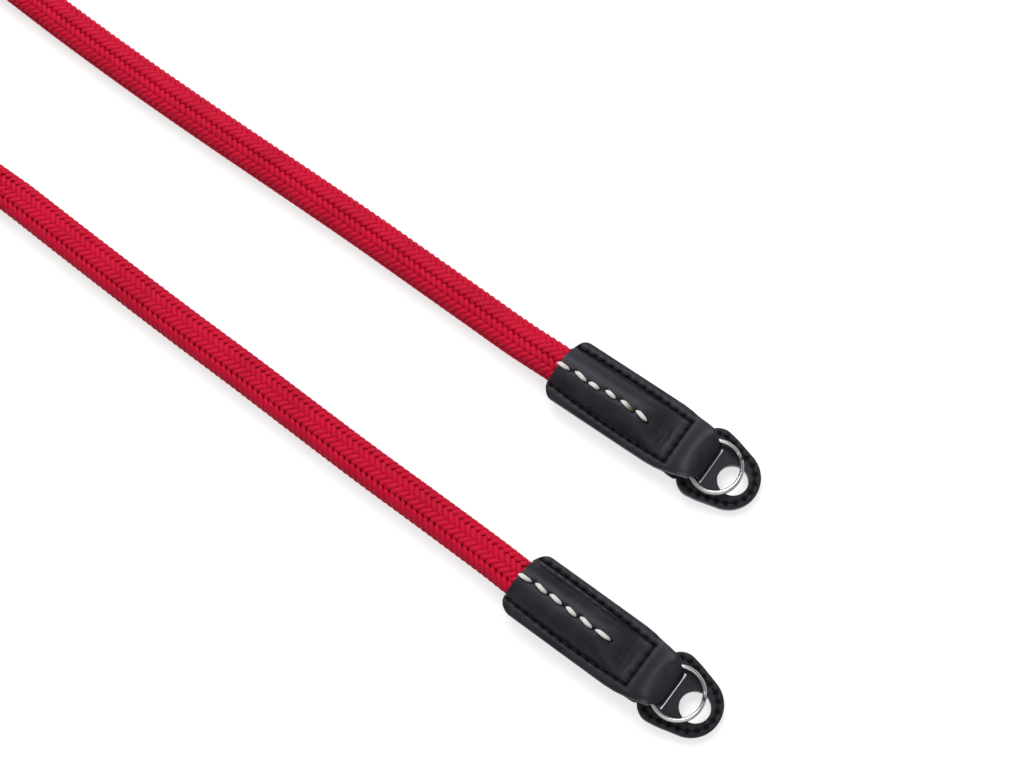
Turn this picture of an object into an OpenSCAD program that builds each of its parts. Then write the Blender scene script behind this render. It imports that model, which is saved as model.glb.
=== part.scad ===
// Neck strap: a braided cord whose two ends are sewn into folded leather tabs.
// Each tab's fold carries a split ring and a leather guard pad that lies under the ring.
// Millimetres, +Z up, lying on a table at z = 0. +X runs from the cord towards the rings.
// The origin is on the table, below the middle of the box around the two leather ends.

/* [Cord] */
// Width of the braided cord
cord_w = 10.4; // [9:0.1:12.5]
// Thickness of the braided cord
cord_h = 8; // [6.5:0.1:9.6]
// Thickness of the cord where the tab squeezes it
cord_flat_h = 6.6; // [5.5:0.1:8]
// Length of cord inside each tab
cord_in_l = 33; // [30.5:0.5:33]
// Width of the binding round the cord's cut end
binding_w = 2.6; // [2:0.1:3]
// Thickness of that binding
binding_t = 0.4; // [0.3:0.05:0.6]

/* [Cord coil] */
// Radius of the coil's turns, on the cord's centreline
coil_r = 51; // [42:1:62]
// Radius of the bend that leads out of the coil
lead_r = 40; // [34:1:48]
// Turns before the part turn that leads out
coil_turns = 1.5; // [1.5]

/* [Leather tab] */
// Thickness of the folded leather strip
strip_t = 1.2; // [1:0.05:1.45]
// Width of the tab
tab_w = 18; // [16:0.1:21.6]
// Distance from the tab's mouth to its cross seam
seam_x = 36.9; // [36:0.1:44.3]
// Radius of the tab's corners at its mouth
tab_corner_r = 3.2; // [2:0.1:4]
// Width of the strip where it passes through the guard's slot
neck_w = 10.2; // [8.5:0.1:11]

/* [Stitching] */
// Thickness of the black seam thread
thread_d = 0.6; // [0.5:0.05:0.7]
// Distance between the holes of the black seams
seam_pitch = 2.3; // [2:0.1:3]
// Thickness of the pale thread down the middle
centre_thread_d = 0.9; // [0.7:0.05:1]
// Distance between the holes of the pale thread
centre_pitch = 4.65; // [4:0.05:4.7]
// Stitches of the pale thread
centre_stitches = 6; // [4:1:6]

/* [Split ring] */
// Outside diameter of the split ring
ring_od = 14.5; // [13.8:0.1:15.6]
// Thickness of the ring's wire
wire_d = 1.1; // [0.9:0.05:1.2]

/* [Guard pad] */
// Length of the guard pad
guard_l = 19.7; // [19:0.1:23.7]
// Width of the guard pad
guard_w = 19.8; // [18:0.1:23.8]
// Radius of the guard's two corners beside the tab
guard_corner_r = 4.8; // [4:0.1:5.8]
// Radius of the guard's round tip
guard_tip_r = 8.2; // [7:0.1:9.4]
// Thickness of each of the guard's two layers
guard_layer_t = 1.2; // [1:0.05:1.4]
// Diameter of the guard's round hole
hole_d = 8; // [6:0.1:8.6]
// Distance of the guard's seam from its edge
guard_seam_inset = 1.5; // [1.2:0.05:1.8]

/* [Hidden] */
$fn = 48;

LEATHER = [0.13, 0.13, 0.15];
LEATHER_EDGE = [0.20, 0.21, 0.24];
RED = [0.70, 0.06, 0.13];
PALE = [0.88, 0.86, 0.80];
BLACK = [0.05, 0.05, 0.06];
STEEL = [0.78, 0.79, 0.80];

// Clearance between a thread and its hole, and between pieces that lie on each other
fit = 0.05;
// Clearance of a piece that moves past another
play = 0.15;
// Overlap that makes sure of a clean cut or a clean union
over = 1;
// Sides of the narrow holes that threads pass through, and of the threads in them
hole_sides = 8;

// Where each end's mouth is on the table, and how far the end turns about it
mouth_a = [-42.9, 25.9];
mouth_b = [-17.3, -25.5];
turn_a = 0.75;
turn_b = -0.6;
// Where each ring's wire crosses from its lower turn to its upper one
crank_a = 68;
crank_b = 40;

// The cord's route on the table, from the mouth of end A to the coil
route_a = [
  mouth_a, [-54.6, 25.8], [-68, 26.1], [-88, 26.5], [-109, 26.9], [-129.5, 27], [-150.5, 27],
  [-172, 27.1], [-194, 27.5], [-216.8, 28.3], [-245, 29.8]
];
coil_in_y = 31;
// From the coil to the mouth of end B
coil_out = [-194, -20];
route_b = [
  coil_out, [-175.5, -20.8], [-153, -21.7], [-131.5, -22.4], [-110.5, -22.9],
  [-89.5, -23.6], [-69, -24.2], [-49, -24.5], [-30, -24.9], mouth_b
];
// Length over which the cord is squeezed and rises to the tab's mouth
squeeze_l = 20;

// Tab: the plane where its two layers meet, and the round form over the cord
half_in = cord_flat_h / 2;
underside_z = centre_thread_d / 2 + fit;
mid_z = underside_z + strip_t + half_in;
cavity_half_w = cord_w / 2 + fit;
cavity_r = (pow(cavity_half_w, 2) + pow(half_in, 2)) / (2 * half_in);
cavity_dz = cavity_r - half_in;
bulge_r = cavity_r + strip_t;
bulge_foot = sqrt(pow(bulge_r, 2) - pow(cavity_dz + strip_t, 2));
seam_y = bulge_foot + thread_d / 2 + 2 * fit;
seam_start_x = 1.2;
layer_gap = 0.06;

// Round end of the form over the cord
end_r = 6;
end_rise = 0.2;
end_zc = half_in + strip_t - end_r + end_rise;
end_xc = seam_x - 1.4 - sqrt(pow(end_r, 2) - pow(strip_t - end_zc, 2));
binding_x = centre_pitch * centre_stitches + 0.9;

// Guard: it tips down from its left edge to its tip on the table
guard_t = 2 * guard_layer_t;
guard_x = seam_x + 3.7;
slot_u = 4.25;
slot_w = strip_t + 1.05;
slot_half = neck_w / 2 + 0.35;
slot_play = 0.5;
guard_z = strip_t + 0.8;
guard_tilt = asin(guard_z / guard_l);
hole_u = guard_l - 6.9;
guard_discs = [
  [guard_corner_r, guard_w / 2 - guard_corner_r, guard_corner_r],
  [guard_corner_r, guard_corner_r - guard_w / 2, guard_corner_r],
  [guard_l - guard_tip_r, 0, guard_tip_r]
];
seam_recess = 0.03;

// Ring: two turns that lie on the guard
ring_rc = (ring_od - wire_d) / 2;
turn_gap = 0.06;
turn_dz = (wire_d + turn_gap) / 2;
crank_deg = 16;
cut_deg = 4;
ring_u = ring_rc + 0.65;
ring_w = guard_t + fit + wire_d / 2 + turn_dz;
wire_x = guard_x + (ring_u - ring_rc) * cos(guard_tilt) + ring_w * sin(guard_tilt);
wire_z = guard_z - (ring_u - ring_rc) * sin(guard_tilt) + ring_w * cos(guard_tilt);

// Loop of the strip round the ring's wire and the guard's left part
neck_x = seam_x + 0.4;
leg_x = guard_x + slot_u * cos(guard_tilt) + guard_t * sin(guard_tilt) + slot_play + strip_t / 2;
loop_t = strip_t - layer_gap / 2;
loop_start = strip_t / 2 + layer_gap / 4;
loop_top = [wire_x + 0.7, wire_z + turn_dz + wire_d / 2 + 0.75 + loop_t / 2];
loop_foot = [guard_x - 0.2, loop_t / 2];
shoulder_r = 1.3;
bend_r = loop_t / 2 + 0.4;

// Box round the two ends, whose middle is the origin
hook_x = -centre_thread_d / 2 - fit;
end_reach = guard_x + guard_l * cos(guard_tilt) + guard_t * sin(guard_tilt);
origin = [
  (mouth_a.x + hook_x - centre_thread_d / 2 + mouth_b.x + end_reach) / 2,
  (mouth_a.y + mouth_b.y) / 2, 0
];

// Coil: it starts straight, winds, and swings out to the second route
lead_l = cord_w;
coil_bottom_y = coil_in_y - 2 * coil_r;
lead_deg = acos(1 - (coil_out.y - coil_bottom_y) / (coil_r + lead_r));
coil_c = [coil_out.x - lead_l - (coil_r + lead_r) * sin(lead_deg), coil_in_y - coil_r];
coil_end_deg = 90 + 360 * coil_turns + lead_deg;
lead_c = coil_c + (coil_r + lead_r) * [cos(coil_end_deg), sin(coil_end_deg)];
layer_dz = cord_h + 0.8;
climb_from = 335;
climb_deg = 90;
fall_from = 0.25;
coil_step = 15;
lead_steps = 6;

// ---- functions ----

function last(v) = v[len(v) - 1];
function smooth(t) = let (c = min(1, max(0, t))) c * c * (3 - 2 * c);
function arc(c, r, a0, a1, n = 8) = [for (i = [0:n]) let (a = a0 + (a1 - a0) * i / n) c + r * [cos(a), sin(a)]];
function reverse(v) = [for (i = [len(v) - 1:-1:0]) v[i]];
function way(p, i) = p[min(i + 1, len(p) - 1)] - p[max(i - 1, 0)];

// Both sides of a band of a given thickness along a line of points
function ribbon(p, t) =
  let (side = [for (i = [0:len(p) - 1]) let (d = way(p, i) / norm(way(p, i))) [-d.y, d.x] * t / 2])
  concat([for (i = [0:len(p) - 1]) p[i] + side[i]], reverse([for (i = [0:len(p) - 1]) p[i] - side[i]]));

// A level start, a level end, and a smooth slope between them
function slope(p, q, n = 10) = [for (i = [0:n]) let (t = i / n) [p.x + (q.x - p.x) * t, p.y + (q.y - p.y) * smooth(t)]];

// Outline of the tightest band round some discs, drawn in by an inset
function outermost(discs, n, i = 0, best = undef) =
  i == len(discs) ? best
  : outermost(discs, n, i + 1, best == undef || discs[i] * [n.x, n.y, 1] > best * [n.x, n.y, 1] ? discs[i] : best);
function band(discs, inset = 0, step = 6) =
  [for (a = [0:step:359.9]) let (n = [cos(a), sin(a)], d = outermost(discs, n)) [d.x, d.y] + (d.z - inset) * n];

// Points at equal distances along a closed line
function run_lengths(p) = [for (i = 0, s = 0; i < len(p); s = s + (i + 1 < len(p) ? norm(p[i + 1] - p[i]) : 0), i = i + 1) s];
function spaced(p, n) =
  let (
    q = concat(p, [p[0]]), s = run_lengths(q),
    xs = [for (i = [0:len(q) - 1]) [s[i], q[i].x]], ys = [for (i = [0:len(q) - 1]) [s[i], q[i].y]]
  )
  [for (k = [0:n - 1]) [lookup(last(s) * k / n, xs), lookup(last(s) * k / n, ys)]];

// ---- cord ----

// One ring of a tube: an oval of size [w, h] round a point, square to the level direction dir
function oval(p, dir, size, sides) =
  let (side = [-dir.y, dir.x] / norm([dir.x, dir.y]))
  [for (k = [0:sides - 1]) let (a = 360 * k / sides, u = cos(a) * size[0] / 2)
    [p.x + side.x * u, p.y + side.y * u, p.z + sin(a) * size[1] / 2 / (sides == 6 ? sin(60) : 1)]];

// Closed tube through rings that all have the same number of points
module tube(rings) {
  m = len(rings[0]);
  n = len(rings);
  polyhedron(
    points = [for (r = rings) for (p = r) p],
    faces = concat(
      [[for (k = [m - 1:-1:0]) k]],
      [for (i = [0:n - 2]) for (k = [0:m - 1]) let (j = (k + 1) % m) each [
        [i * m + k, i * m + j, (i + 1) * m + j], [i * m + k, (i + 1) * m + j, (i + 1) * m + k]
      ]],
      [[for (k = [0:m - 1]) (n - 1) * m + k]]
    )
  );
}

// Height and squeeze of the cord at a distance from a tab's mouth
function centre_z(d) = mid_z + (cord_h / 2 - mid_z) * smooth(d / squeeze_l);
function section(d) = [cord_w, (cord_flat_h - 2 * fit) + (cord_h - cord_flat_h + 2 * fit) * smooth(d / squeeze_l)];

// Rings along a route that starts at a tab's mouth; the tab looks away along the direction turn
function run_rings(route, turn) = [
  for (i = [0:len(route) - 1])
    let (
      d = norm(route[i] - route[0]),
      dir = i == 0 ? -[cos(turn), sin(turn)] : i == len(route) - 1 ? [-1, 0] : way(route, i)
    )
    oval([route[i].x, route[i].y, centre_z(d)], dir, section(d), 12)
];

function coil_z(a) = cord_h / 2 + layer_dz * smooth((a - climb_from) / climb_deg);
coil_points = concat(
  [[coil_c.x + lead_l, coil_in_y, cord_h / 2]],
  [for (a = [90:coil_step:coil_end_deg - 1]) [coil_c.x + coil_r * cos(a), coil_c.y + coil_r * sin(a), coil_z(a)]],
  [for (i = [0:lead_steps])
    let (t = i / lead_steps, a = coil_end_deg - 180 - t * lead_deg)
    [lead_c.x + lead_r * cos(a), lead_c.y + lead_r * sin(a), cord_h / 2 + layer_dz * (1 - smooth((t - fall_from) / (1 - fall_from)))]],
  [[coil_out.x, coil_out.y, cord_h / 2]]
);
coil_rings = [
  for (i = [0:len(coil_points) - 1])
    let (dir = i == 0 ? [-1, 0] : i == len(coil_points) - 1 ? [1, 0] : way(coil_points, i))
    oval(coil_points[i], dir, [cord_w, cord_h], 6)
];
// Least distance between the rings of one pass and those of another
coil_gap = min([
  for (i = [0:len(coil_rings) - 1]) for (j = [i + 1:1:len(coil_rings) - 1])
    if (norm(coil_points[i] - coil_points[j]) < 2 * cord_w && j - i > 3)
      for (p = coil_rings[i]) for (q = coil_rings[j]) norm(p - q)
]);
echo(coil_gap = coil_gap, lead_deg = lead_deg, coil_c = coil_c, origin = origin);

module placed() translate(-origin) children();

module cord_run_a()
  color(RED) placed() tube(reverse(run_rings(concat(route_a, [[coil_c.x + lead_l, coil_in_y]]), turn_a)));

module cord_run_b()
  color(RED) placed() tube(reverse(run_rings(reverse(route_b), turn_b)));

module cord_coil()
  color(RED) placed() tube(coil_rings);

// ---- one end, in its own frame: the mouth is at x = 0 and the ring is towards +X ----

module end_a() placed() translate(mouth_a) rotate([0, 0, turn_a]) children();
module end_b() placed() translate(mouth_b) rotate([0, 0, turn_b]) children();
module on_guard() translate([guard_x, 0, guard_z]) rotate([0, guard_tilt, 0]) children();

module rod(p, q, d, sides = $fn) {
  v = q - p;
  translate(p) rotate([0, acos(v.z / norm(v)), atan2(v.y, v.x)]) cylinder(h = norm(v), d = d, $fn = sides);
}

// A long form that is round above and below the plane of mid_z, with a rounded far end
module half_form(r, round_r, length) {
  for (up = [1, -1]) translate([0, 0, mid_z]) rotate([up > 0 ? 0 : 180, 0, 0])
    intersection() {
      translate([0, 0, -cavity_dz]) rotate([0, 90, 0]) cylinder(h = length, r = r);
      union() {
        translate([-over, -2 * tab_w, -over]) cube([end_xc + over, 4 * tab_w, 4 * cord_h]);
        translate([end_xc, 2 * tab_w, end_zc]) rotate([90, 0, 0]) cylinder(h = 4 * tab_w, r = round_r);
      }
      translate([-over, -tab_w, 0]) cube([length + 2 * over, 2 * tab_w, 2 * cord_h]);
    }
}

// The room for the cord inside the tab, made smaller all round by d and ending at length
module cord_room(d, length = 2 * cord_in_l) {
  intersection() {
    half_form(cavity_r - d, end_r - strip_t - d, length);
    translate([-over, -cavity_half_w + d, 0]) cube([length + over, 2 * (cavity_half_w - d), 3 * cord_h]);
  }
}

tab_half = tab_w / 2;
neck_half = neck_w / 2;
taper = [[-1.8, 1], [1.2, 0.93], [4.8, 0.62], [6.4, 0.4], [7.4, 0.2], [8.1, 0.05], [8.6, 0]];
tab_side = concat(
  arc([tab_corner_r, tab_half - tab_corner_r], tab_corner_r, 180, 90),
  [for (s = taper) [seam_x + s[0], neck_half + (tab_half - neck_half) * s[1]]],
  [[leg_x + strip_t, neck_half]]
);
tab_outline = concat(tab_side, reverse([for (p = tab_side) [p.x, -p.y]]));

loop_line = concat(
  [[neck_x - over, mid_z + loop_start]],
  slope([neck_x, mid_z + loop_start], loop_top),
  arc([leg_x - shoulder_r, loop_top.y - shoulder_r], shoulder_r, 90, 0),
  arc([leg_x - bend_r, loop_t / 2 + bend_r], bend_r, 0, -90),
  reverse(slope([neck_x, mid_z - loop_start], loop_foot)),
  [[neck_x - over, mid_z - loop_start]]
);

// Holes of the black seam: up one side, across, and back down the other side
side_holes = round((seam_x - seam_start_x) / seam_pitch);
cross_holes = round(2 * seam_y / seam_pitch);
seam_holes = concat(
  [for (s = [1, -1]) for (i = [0:side_holes]) [seam_start_x + (seam_x - seam_start_x) * i / side_holes, s * seam_y]],
  [for (i = [1:cross_holes - 1]) [seam_x, seam_y - 2 * seam_y * i / cross_holes]]
);

// The black seam's thread; more is added to its thickness for the groove and the holes
module tab_seam_shape(more = 0) {
  d = thread_d + more;
  for (z = [mid_z - strip_t, mid_z + strip_t]) {
    for (y = [-seam_y, seam_y]) rod([seam_start_x - d / 2, y, z], [seam_x + d / 2, y, z], d, hole_sides);
    rod([seam_x, -seam_y, z], [seam_x, seam_y, z], 0.94 * d, hole_sides);
  }
  for (h = seam_holes) translate([h.x, h.y, mid_z - strip_t]) cylinder(h = 2 * strip_t, d = 0.8 * thread_d + 1.3 * more, $fn = hole_sides);
}

// The pale thread; it hooks over the mouth's edge above and below
module centre_thread_shape(more = 0) {
  d = centre_thread_d + more;
  far_x = centre_pitch * centre_stitches;
  for (s = [1, -1]) {
    z = mid_z + s * (half_in + strip_t);
    rod([hook_x, 0, z], [far_x + d / 2, 0, z], d, 24);
    rod([hook_x, 0, z], [hook_x, 0, mid_z + s * (half_in + 2 * fit)], centre_thread_d, 24);
  }
  for (i = [1:centre_stitches]) translate([centre_pitch * i, 0, mid_z - half_in - strip_t])
    cylinder(h = 2 * (half_in + strip_t), d = 0.75 * centre_thread_d + 1.3 * more, $fn = hole_sides);
}

module tab_leather() {
  color(LEATHER) difference() {
    union() {
      intersection() {
        translate([0, 0, mid_z - strip_t]) linear_extrude(2 * strip_t) polygon(tab_outline);
        translate([-over, -tab_w, 0]) cube([neck_x + over, 2 * tab_w, 2 * mid_z]);
      }
      half_form(bulge_r, end_r, seam_x);
      intersection() {
        linear_extrude(2 * mid_z) polygon(tab_outline);
        rotate([90, 0, 0]) translate([0, 0, -tab_w]) linear_extrude(2 * tab_w) polygon(ribbon(loop_line, loop_t));
      }
    }
    cord_room(0);
    translate([-over, -tab_w, mid_z - layer_gap / 2]) cube([neck_x + 2 * over, 2 * tab_w, layer_gap]);
    tab_seam_shape(2 * fit);
    centre_thread_shape(2 * fit);
  }
}

module tab_seam() color(BLACK) tab_seam_shape();

module centre_thread() color(PALE) centre_thread_shape();

module in_binding(d) {
  intersection() {
    cord_room(d, cord_in_l);
    translate([binding_x, -tab_w, 0]) cube([binding_w, 2 * tab_w, 2 * mid_z]);
  }
}

module cord_end() {
  color(RED) difference() {
    cord_room(fit, cord_in_l);
    difference() {
      translate([binding_x - fit, -tab_w, 0]) cube([binding_w + 2 * fit, 2 * tab_w, 2 * mid_z]);
      cord_room(fit + binding_t + fit, cord_in_l);
    }
    centre_thread_shape(2 * fit);
  }
}

module cord_binding() {
  color(PALE) difference() {
    in_binding(fit);
    cord_room(fit + binding_t, 2 * cord_in_l);
  }
}

// ---- guard and ring, in the guard's frame: its left edge is at u = 0 and its underside at w = 0 ----

guard_seam_line = band(guard_discs, guard_seam_inset);
guard_holes = spaced(guard_seam_line, round(last(run_lengths(guard_seam_line)) / seam_pitch));

module guard_seam_ring(more = 0) {
  difference() {
    polygon(band(guard_discs, guard_seam_inset - (thread_d + more) / 2));
    polygon(band(guard_discs, guard_seam_inset + (thread_d + more) / 2));
  }
}

module guard_seam_shape(more = 0) {
  h = thread_d + more;
  translate([0, 0, more > 0 ? -seam_recess : seam_recess]) linear_extrude(h) guard_seam_ring(more);
  translate([0, 0, guard_t - h + (more > 0 ? seam_recess : -seam_recess)]) linear_extrude(h) guard_seam_ring(more);
  for (p = guard_holes) translate([p.x, p.y, thread_d / 2])
    cylinder(h = guard_t - thread_d, d = 0.8 * thread_d + 1.3 * more, $fn = hole_sides);
}

module guard_layer(w) {
  difference() {
    translate([0, 0, w]) linear_extrude(guard_layer_t) polygon(band(guard_discs, 0, 4));
    translate([hole_u, 0, w - over]) cylinder(h = guard_layer_t + 2 * over, d = hole_d);
    translate([slot_u, -slot_half, w - over]) cube([slot_w, 2 * slot_half, guard_layer_t + 2 * over]);
    guard_seam_shape(2 * fit);
  }
}

module guard_top() color(LEATHER) on_guard() guard_layer(guard_layer_t);
module guard_bottom() color(LEATHER_EDGE) on_guard() guard_layer(0);
module guard_seam() color(BLACK) on_guard() guard_seam_shape();

module turn(from, to, z)
  translate([0, 0, z]) rotate([0, 0, from]) rotate_extrude(angle = to - from) translate([ring_rc, 0]) circle(d = wire_d);

module split_ring(crank_at) {
  low = [ring_rc * cos(-crank_deg), ring_rc * sin(-crank_deg), -turn_dz];
  high = [ring_rc, 0, turn_dz];
  color(STEEL) on_guard() translate([ring_u, 0, ring_w]) rotate([0, 0, crank_at]) {
    turn(cut_deg, 360 - crank_deg, -turn_dz);
    turn(0, 360 - crank_deg - cut_deg, turn_dz);
    rod(low, high, 0.97 * wire_d);
    for (p = [low, high]) translate(p) sphere(d = 0.97 * wire_d);
  }
}

cord_run_a();
cord_coil();
cord_run_b();

end_a() tab_leather();  // tab_leather_a
end_a() tab_seam();  // tab_seam_a
end_a() centre_thread();  // centre_thread_a
end_a() cord_end();  // cord_end_a
end_a() cord_binding();  // cord_binding_a
end_a() split_ring(crank_a);  // split_ring_a
end_a() guard_top();  // guard_top_a
end_a() guard_bottom();  // guard_bottom_a
end_a() guard_seam();  // guard_seam_a

end_b() tab_leather();  // tab_leather_b
end_b() tab_seam();  // tab_seam_b
end_b() centre_thread();  // centre_thread_b
end_b() cord_end();  // cord_end_b
end_b() cord_binding();  // cord_binding_b
end_b() split_ring(crank_b);  // split_ring_b
end_b() guard_top();  // guard_top_b
end_b() guard_bottom();  // guard_bottom_b
end_b() guard_seam();  // guard_seam_b
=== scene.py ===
"""A neck strap of braided cord, with a sewn leather tab, a split ring and a guard pad at each end."""

from __future__ import annotations

import logging
import math
import random
from bisect import bisect_left
from dataclasses import dataclass, field
from enum import Enum
from typing import Any, Callable, NamedTuple, Sequence

import bpy
from mathutils import Matrix, Vector

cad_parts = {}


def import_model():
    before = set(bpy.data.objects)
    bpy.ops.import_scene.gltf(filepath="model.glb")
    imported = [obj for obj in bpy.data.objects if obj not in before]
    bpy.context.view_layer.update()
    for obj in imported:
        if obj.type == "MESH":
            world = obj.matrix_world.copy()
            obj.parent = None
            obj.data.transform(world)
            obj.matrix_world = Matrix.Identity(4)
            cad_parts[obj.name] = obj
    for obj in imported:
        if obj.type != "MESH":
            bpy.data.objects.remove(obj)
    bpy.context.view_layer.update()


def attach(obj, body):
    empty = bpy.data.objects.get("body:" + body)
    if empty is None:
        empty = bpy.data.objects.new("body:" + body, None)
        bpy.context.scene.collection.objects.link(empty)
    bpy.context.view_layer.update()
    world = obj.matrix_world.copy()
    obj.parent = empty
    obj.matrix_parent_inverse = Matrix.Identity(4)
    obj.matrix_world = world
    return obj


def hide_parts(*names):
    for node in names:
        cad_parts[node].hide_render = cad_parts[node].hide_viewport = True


log = logging.getLogger("strap")

MM = 0.001
Pair = tuple[float, float]
Triple = tuple[float, float, float]
Shape = Callable[[float, float], Vector]


# ---------------------------------------------------------------- shader sums


class Field:
    """A shader socket that takes part in sums."""

    def __init__(self, book: "NodeBook", socket: bpy.types.NodeSocket) -> None:
        """Keeps the socket and the book that its new nodes go into."""
        self.book = book
        self.socket = socket

    def __add__(self, other: Any) -> "Field":
        """self + other."""
        return self.book.maths("ADD", self, other)

    __radd__ = __add__

    def __mul__(self, other: Any) -> "Field":
        """self * other."""
        return self.book.maths("MULTIPLY", self, other)

    __rmul__ = __mul__

    def smooth(self, low: float, high: float) -> "Field":
        """Maps self from low..high to 0..1 along a smooth step."""
        return self.book.field(
            "ShaderNodeMapRange", {"interpolation_type": "SMOOTHSTEP"},
            {"Value": self, "From Min": low, "From Max": high}, "Result",
        )


class NodeBook:
    """One material and the nodes that are added to it."""

    def __init__(self, name: str) -> None:
        """Makes an empty material of a name."""
        self.material = bpy.data.materials.new(name)
        self.material.use_nodes = True
        self.tree = self.material.node_tree
        self.tree.nodes.clear()

    def node(
        self, kind: str, settings: dict[str, Any] | None = None, sockets: dict[Any, Any] | None = None
    ) -> bpy.types.Node:
        """Adds a node.

        Args:
            kind: the node's type name.
            settings: properties that are set before the sockets.
            sockets: values or fields of the node's inputs, by name or number.

        Returns:
            The new node.
        """
        made = self.tree.nodes.new(kind)
        for key, value in (settings or {}).items():
            setattr(made, key, value)
        for key, value in (sockets or {}).items():
            if isinstance(value, Field):
                self.tree.links.new(value.socket, made.inputs[key])
            else:
                made.inputs[key].default_value = value
        return made

    def field(
        self, kind: str, settings: dict[str, Any] | None = None, sockets: dict[Any, Any] | None = None,
        output: str | int = 0,
    ) -> Field:
        """Adds a node as the method node does, and gives one of its outputs, by name or number."""
        return Field(self, self.node(kind, settings, sockets).outputs[output])

    def maths(self, operation: str, a: Any, b: Any = 0.0) -> Field:
        """One Math node on numbers or fields."""
        return self.field("ShaderNodeMath", {"operation": operation}, {0: a, 1: b})

    def place(self, scale: Triple = (1, 1, 1)) -> Field:
        """Object coordinates, scaled."""
        source = self.field("ShaderNodeTexCoord", output="Object")
        return self.field("ShaderNodeMapping", None, {"Vector": source, "Scale": scale})

    def noise(self, at: Field, scale: float, detail: float = 3.0, rough: float = 0.5) -> Field:
        """Noise from 0 to 1."""
        sockets = {"Vector": at, "Scale": scale, "Detail": detail, "Roughness": rough}
        return self.field("ShaderNodeTexNoise", None, sockets)

    def cells(self, at: Field, scale: float) -> Field:
        """Distance to the nearest edge in a field of cells."""
        settings = {"feature": "DISTANCE_TO_EDGE"}
        return self.field("ShaderNodeTexVoronoi", settings, {"Vector": at, "Scale": scale}, "Distance")

    def attribute(self, name: str) -> Field:
        """A number kept on the mesh."""
        return self.field("ShaderNodeAttribute", {"attribute_name": name}, output="Fac")

    def plies(self, count: float, twist: float) -> Field:
        """Ridges from 0 to 1 that wind along a yarn, by the piece's own UV map.

        Args:
            count: ridges in one turn round the yarn.
            twist: how far they wind along its length.

        Returns:
            The height of the ridges.
        """
        source = self.field("ShaderNodeUVMap", {"uv_map": "UVMap"})
        split = self.node("ShaderNodeSeparateXYZ", None, {0: source})
        along, around = (Field(self, split.outputs[number]) for number in (0, 1))
        return self.maths("SINE", (around * count + along * twist) * math.tau) * 0.5 + 0.5

    def blend(self, share: Field, a: Field | Triple, b: Field | Triple) -> Field:
        """Mixes two colours by a share of the second."""
        first, second = (value if isinstance(value, Field) else (*value, 1.0) for value in (a, b))
        return self.field("ShaderNodeMix", {"data_type": "RGBA"}, {0: share, 6: first, 7: second}, 2)

    def bump(self, height: Field, depth_mm: float, strength: float, over: Field | None = None) -> Field:
        """Turns a height from 0 to 1 into a normal.

        Args:
            height: the height.
            depth_mm: how deep the whole height is, in millimetres.
            strength: how much of it shows.
            over: the normal that it goes on, or none for the plain surface.

        Returns:
            The new normal.
        """
        sockets = {"Height": height, "Distance": depth_mm * MM, "Strength": strength}
        if over is not None:
            sockets["Normal"] = over
        return self.field("ShaderNodeBump", None, sockets)

    def finish(self, **sockets: Any) -> bpy.types.Material:
        """Ends the material with a Principled shader.

        Args:
            **sockets: the shader's inputs, with _ for a space.

        Returns:
            The finished material.
        """
        named = {key.replace("_", " "): value for key, value in sockets.items()}
        self.node("ShaderNodeOutputMaterial", None, {0: self.field("ShaderNodeBsdfPrincipled", None, named)})
        return self.material


# ---------------------------------------------------------------- finishes


@dataclass(frozen=True)
class Leather:
    """Smooth black leather with a fine grain; a number on the mesh, near 1 in the thread's holes and lower
    along the seam lines, paints shade into those holes and lines.
    """

    name: str = "black_leather"
    low: Triple = (0.0070, 0.0064, 0.0090)
    high: Triple = (0.0180, 0.0168, 0.0222)
    # painted shade: the near-black colour of the thread's holes and seam lines
    hole_shade: Triple = (0.0005, 0.0005, 0.0007)
    rough: float = 0.38
    cloud_scale: float = 160.0
    grain_scale: float = 2600.0
    pore_scale: float = 5200.0
    crease_scale: float = 420.0
    crease_depth: float = 0.09
    grain_depth: float = 0.028

    def make(self) -> bpy.types.Material:
        """Makes the material."""
        book = NodeBook(self.name)
        at = book.place()
        cloud = book.noise(at, self.cloud_scale, 4.0, 0.6)
        grain = book.cells(at, self.grain_scale).smooth(0.0, 0.35)
        pores = book.noise(at, self.pore_scale, 2.0, 0.6)
        creases = book.noise(book.place((0.5, 1.0, 1.0)), self.crease_scale, 3.0, 0.55)
        pit_and_shade = book.attribute("pit_and_shade")
        tone = book.blend(cloud.smooth(0.3, 0.7), self.low, self.high)
        # painted shade in the thread's holes and along the seam lines, from the number kept on the mesh
        tone = book.blend(pit_and_shade.smooth(0.05, 0.45), tone, self.hole_shade)
        normal = book.bump(creases, self.crease_depth, 0.6)
        normal = book.bump(grain * 0.7 + pores * 0.3, self.grain_depth, 0.7, normal)
        return book.finish(
            Base_Color=tone, Roughness=cloud * 0.16 + self.rough + pit_and_shade * 0.9, Normal=normal,
            Specular_IOR_Level=0.32, Specular_Tint=(0.88, 0.88, 1.0, 1.0),
        )


@dataclass(frozen=True)
class CutEdge:
    """The cut edge of black leather, a little fibrous; its pale bluish colour is partly the raw edge's own
    tone and partly a painted highlight of a burnished edge.
    """

    name: str = "leather_edge"
    # partly a painted highlight: the pale bluish tones stand in for light on a burnished edge
    low: Triple = (0.070, 0.070, 0.092)
    high: Triple = (0.210, 0.215, 0.275)
    fibre_scale: float = 5000.0
    fibre_depth: float = 0.05

    def make(self) -> bpy.types.Material:
        """Makes the material."""
        book = NodeBook(self.name)
        fibres = book.noise(book.place((0.5, 0.5, 1.0)), self.fibre_scale, 4.0, 0.65)
        tone = book.blend(fibres.smooth(0.32, 0.68), self.low, self.high)
        return book.finish(Base_Color=tone, Roughness=0.62, Normal=book.bump(fibres, self.fibre_depth, 0.7))


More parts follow.
